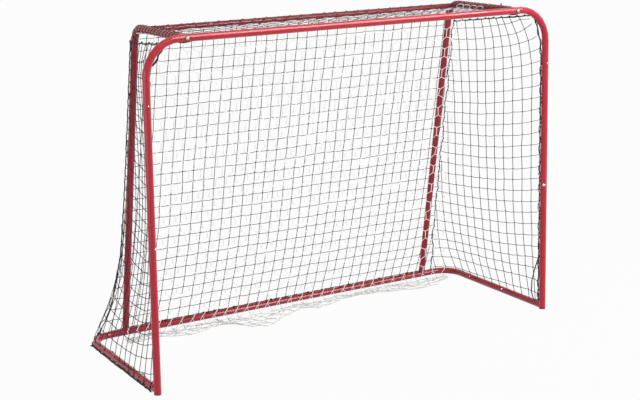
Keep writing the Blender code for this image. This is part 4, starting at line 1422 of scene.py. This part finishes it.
class GOAL_OT_drop_net(bpy.types.Operator):
    """Hangs the white hexagon net from its rope and piles its foot on the floor"""

    bl_idname = "goal.drop_net"
    bl_label = "White drop net"

    def execute(self, context):
        settings = context.scene.goal_drop_net
        draws = random.Random(settings.seed)
        strands = Strands()
        hang = DROP_ROPE_Z - 0.004 - DROP_BEND
        columns = round(2 * DROP_ROPE_REACH / HEX_WIDTH)
        rows = round(hang / HEX_ROW) + PILE_ROWS
        jitter = {}
        radius = settings.thread / 2

        def vertex(half_column, row, upper):
            """A row zigzags: every other knot is raised by about a quarter of the row's pitch."""
            key = (half_column, row, upper)
            if key not in jitter:
                jitter[key] = Vector([draws.uniform(-HEX_JITTER, HEX_JITTER) for _ in range(3)])
            length = row * HEX_ROW + (-HEX_ZIGZAG if upper else 0.0)
            place = drop_place(half_column / (2 * columns), max(length, 0), hang, settings) + jitter[key]
            place.z = max(place.z, radius * 1.3)
            return place

        knots = []
        for row in range(rows + 1):
            line = [vertex(half, row, (half + row) % 2 == 0) for half in range(2 * columns + 1)]
            points = []
            for one, two in zip(line, line[1:]):
                halfway = one.lerp(two, 0.5) + Vector((0, 0, draws.uniform(-0.001, 0.0005)))
                halfway.z = max(halfway.z, radius)
                points += [one, halfway]
            strands.tube(points + [line[-1]], radius)
            knots += line
            if row < rows:
                for half in range((row + 1) % 2, 2 * columns + 1, 2):
                    strands.tube([vertex(half, row, False), vertex(half, row + 1, True)], radius * 1.15)
        size = Vector((radius * 1.9, radius * 1.6, radius * 1.5))
        for place in knots:
            along = Vector((draws.uniform(-1, 1), 0.2, draws.uniform(-1, 1)))
            strands.knot(place, along, Vector((0, 1, 0.2)), size)
        strands.piece("white_drop_net", white_thread(), "white_twine", ["drop_net"])
        return {"FINISHED"}


def drop_place(across, length, hang, settings):
    """A point of the drop net by its share of the width and its length below the rope."""
    lower = min(length / hang, 1)
    left = -DROP_LEFT - DROP_LEFT_SPREAD * lower**14
    right = DROP_ROPE_REACH + DROP_SPREAD * lower**4
    gathered = GATHER * max(0, length + GATHER_LENGTH - hang) * math.sin(math.pi * across) ** 0.5
    x = left + (right - left) * across - gathered
    x = max(min(x, POST_X - DROP_RAIL_GAP), DROP_RAIL_GAP - POST_X)
    ripple = stray(Vector((x, length, 2)), settings.wander, DROP_WANDER_GRAIN)
    if length < hang:
        y = DROP_ROPE_Y + (DROP_FOOT_Y - DROP_ROPE_Y) * lower
        return Vector((x, y, DROP_ROPE_Z - 0.003 - length)) + ripple * min(length / 0.1, 1)
    laid = length - hang
    reach = max(DROP_FOOT_Y - between(PILE_EDGE, x), 0.02)
    share = laid / (PILE_ROWS * HEX_ROW)
    crumple = stray(Vector((x, laid, 6)), PILE_CRUMPLE, PILE_CRUMPLE_GRAIN)
    x += ripple.x + crumple.x
    inside = math.sin(math.pi * min(share, 1))
    zigzag = PILE_ZIGZAG * inside if 0.5 < length / HEX_ROW % 1 < 0.9 else 0
    y = DROP_FOOT_Y - reach * share + zigzag + (ripple.y + crumple.y) * inside**0.7
    fold = 0.5 + 0.9 * noise.noise(Vector((x * 12, laid * 24, 5)))
    lift = settings.pile * min(max(fold, 0.05), 1) * (1.15 - share) * min(0.04 / reach + 0.3, 1)
    floor = settings.thread / 2 + 0.0008
    return Vector((x, y, floor + lift * min(laid / 0.03, 1)))


class GOAL_OT_drop_cord(bpy.types.Operator):
    """Strings the drop net's cord below the arms and laces it to the top bar"""

    bl_idname = "goal.drop_cord"
    bl_label = "Drop net cord"

    def execute(self, context):
        draws = random.Random(53)
        strands = Strands(6)
        cord = []
        lacing = []
        steps = 64
        for step in range(steps + 1):
            x = -LACED_X + 2 * LACED_X / steps * step
            bow = 0.002 * (step % 2) + draws.uniform(0, 0.001)
            cord.append(Vector((x, DROP_ROPE_Y, DROP_ROPE_Z - bow)))
            near = Vector((x, DROP_ROPE_Y + 0.001, DROP_ROPE_Z + 0.001))
            far = Vector((x, TOP_BAR.y - 0.0065, TOP_BAR.z - TUBE_RADIUS - 0.0005))
            lacing.append(far if step % 4 == 2 else near)
        ends = [Vector((x, DROP_ROPE_Y, DROP_ROPE_Z)) for x in (-DROP_ROPE_REACH, DROP_ROPE_REACH)]
        strands.tube([ends[0], *cord, ends[1]], DROP_ROPE_RADIUS)
        strands.tube(lacing, DROP_LACE_RADIUS)
        for turn in range(4):
            centre = Vector((REAR_X - TUBE_RADIUS - 0.006, 0.19 + 0.04 * turn, CROSSBAR_Z - 0.004))
            spare = loop(centre, Vector((-0.006, 0, -0.008)), Vector((0, 0.021, 0)), steps=12)
            strands.tube(spare, radius=0.0014)
        strands.piece("drop_cord", white_thread(), "white_twine", ["drop_rope"])
        return {"FINISHED"}


# Stage


class GOAL_OT_stage(bpy.types.Operator):
    """Sets the camera, the floor and the soft light"""

    bl_idname = "goal.stage"
    bl_label = "Stage"

    def execute(self, context):
        settings = context.scene.goal_stage
        add_camera(context.scene, settings)
        add_floor(settings)
        add_sky(context.scene, settings)
        add_lamps(context.scene, settings)
        context.scene.view_settings.view_transform = "Standard"
        return {"FINISHED"}


def add_camera(scene, settings):
    data = bpy.data.cameras.new("camera")
    data.sensor_width = 36
    data.lens = settings.lens
    data.shift_x = (IMAGE_WIDTH / 2 - IMAGE_CENTRE[0]) / IMAGE_WIDTH
    data.shift_y = (IMAGE_CENTRE[1] - IMAGE_HEIGHT / 2) / IMAGE_WIDTH
    data.clip_end = 100
    camera = bpy.data.objects.new("camera", data)
    scene.collection.objects.link(camera)
    turn = Matrix.Rotation(-CAMERA_AZIMUTH, 3, "Z") @ Matrix.Rotation(math.pi / 2 - CAMERA_ELEVATION, 3, "X")
    turn = turn @ Matrix.Rotation(CAMERA_ROLL, 3, "Z")
    camera.matrix_world = Matrix.Translation(CAMERA_EYE + Vector((0, MOUTH_Y, 0))) @ turn.to_4x4()
    scene.camera = camera


def add_floor(settings):
    """A grey floor that takes soft shade and is seen nearly white."""
    bpy.ops.object.select_all(action="DESELECT")
    bpy.ops.mesh.primitive_plane_add(size=60)
    floor = bpy.context.object
    floor.name = "floor"
    finish = Finish("floor")
    finish.give({"Base Color": (*settings.floor, 1), "Roughness": 0.9, "Specular IOR Level": 0.1})
    share = finish.math("MULTIPLY", finish.seen(), 0.96)
    white = finish.node("Emission", {}).outputs["Emission"]
    surface = finish.nodes["Material Output"].inputs["Surface"]
    finish.mix_shaders(share, finish.shader.outputs["BSDF"], white, surface)
    floor.data.materials.append(finish.material)


def add_sky(scene, settings):
    """An even light that is seen as white."""
    world = bpy.data.worlds.new("studio")
    scene.world = world
    world.use_nodes = True
    tree = NodeTree(world.node_tree)
    sky = tree.nodes["Background"]
    sky.inputs["Color"].default_value = grey(1)
    sky.inputs["Strength"].default_value = settings.sky
    white = tree.node("Background", {"Color": grey(1)}).outputs["Background"]
    surface = tree.nodes["World Output"].inputs["Surface"]
    tree.mix_shaders(tree.seen(), sky.outputs["Background"], white, surface)


def add_lamps(scene, settings):
    """Each lamp has a place, a width and length, a point that it faces and a power."""
    lamps = {
        "key_light": ((2.4, -2.9, 2.3), (1.8, 1.8), (0.2, -0.3, 0.5), settings.key),
        "strip_light": ((-3.7, -1.25, 0.85), (0.5, 1.7), (-0.8, -0.3, 0.6), settings.key * 0.6),
        "bar_light": ((0.6, -2.6, 3.6), (5.2, 0.45), (0.7, -0.3, 1.1), settings.key),
    }
    for name, (place, size, target, power) in lamps.items():
        light = bpy.data.lights.new(name, "AREA")
        light.shape = "RECTANGLE"
        light.size, light.size_y = size
        light.energy = power
        lamp = bpy.data.objects.new(name, light)
        lamp.visible_diffuse = name == "key_light"
        scene.collection.objects.link(lamp)
        aim = Vector(target) - Vector(place)
        lamp.matrix_world = Matrix.Translation(place) @ aim.to_track_quat("-Z", "Y").to_matrix().to_4x4()


# Panel and registration

SETTINGS = {
    "goal_net": NetSettings,
    "goal_drop_net": DropNetSettings,
    "goal_finish": FinishSettings,
    "goal_stage": StageSettings,
}
PIECES = (
    GOAL_OT_stage,
    GOAL_OT_finish_frame,
    GOAL_OT_black_back_net,
    GOAL_OT_black_side_nets,
    GOAL_OT_seam_cords,
    GOAL_OT_side_edges,
    GOAL_OT_mouth_cord,
    GOAL_OT_bottom_cord,
    GOAL_OT_lashings,
    GOAL_OT_drop_net,
    GOAL_OT_drop_cord,
    GOAL_OT_net_clips,
    GOAL_OT_leaf_springs,
)


class GOAL_PT_panel(bpy.types.Panel):
    """Lists the goal's pieces and their sizes"""

    bl_idname = "GOAL_PT_panel"
    bl_label = "Floorball goal"
    bl_space_type = "VIEW_3D"
    bl_region_type = "UI"
    bl_category = "Goal"

    def draw(self, context):
        for name in SETTINGS:
            box = self.layout.box()
            group = getattr(context.scene, name)
            for key in group.bl_rna.properties.keys():
                if key not in ("rna_type", "name"):
                    box.prop(group, key)
        for piece in PIECES:
            self.layout.operator(piece.bl_idname)


def register():
    for kind in (*SETTINGS.values(), *PIECES, GOAL_PT_panel):
        bpy.utils.register_class(kind)
    for name, kind in SETTINGS.items():
        setattr(bpy.types.Scene, name, PointerProperty(type=kind))


def unregister():
    for name in SETTINGS:
        delattr(bpy.types.Scene, name)
    for kind in reversed((*SETTINGS.values(), *PIECES, GOAL_PT_panel)):
        bpy.utils.unregister_class(kind)


def main():
    register()
    bpy.ops.goal.stage()
    bpy.ops.goal.finish_frame()
    bpy.ops.goal.black_back_net()
    bpy.ops.goal.black_side_nets()
    bpy.ops.goal.seam_cords()
    bpy.ops.goal.side_edges()
    bpy.ops.goal.mouth_cord()
    bpy.ops.goal.bottom_cord()
    bpy.ops.goal.lashings()
    bpy.ops.goal.drop_net()
    bpy.ops.goal.drop_cord()
    bpy.ops.goal.net_clips()
    bpy.ops.goal.leaf_springs()


if __name__ == "__main__":
    main()
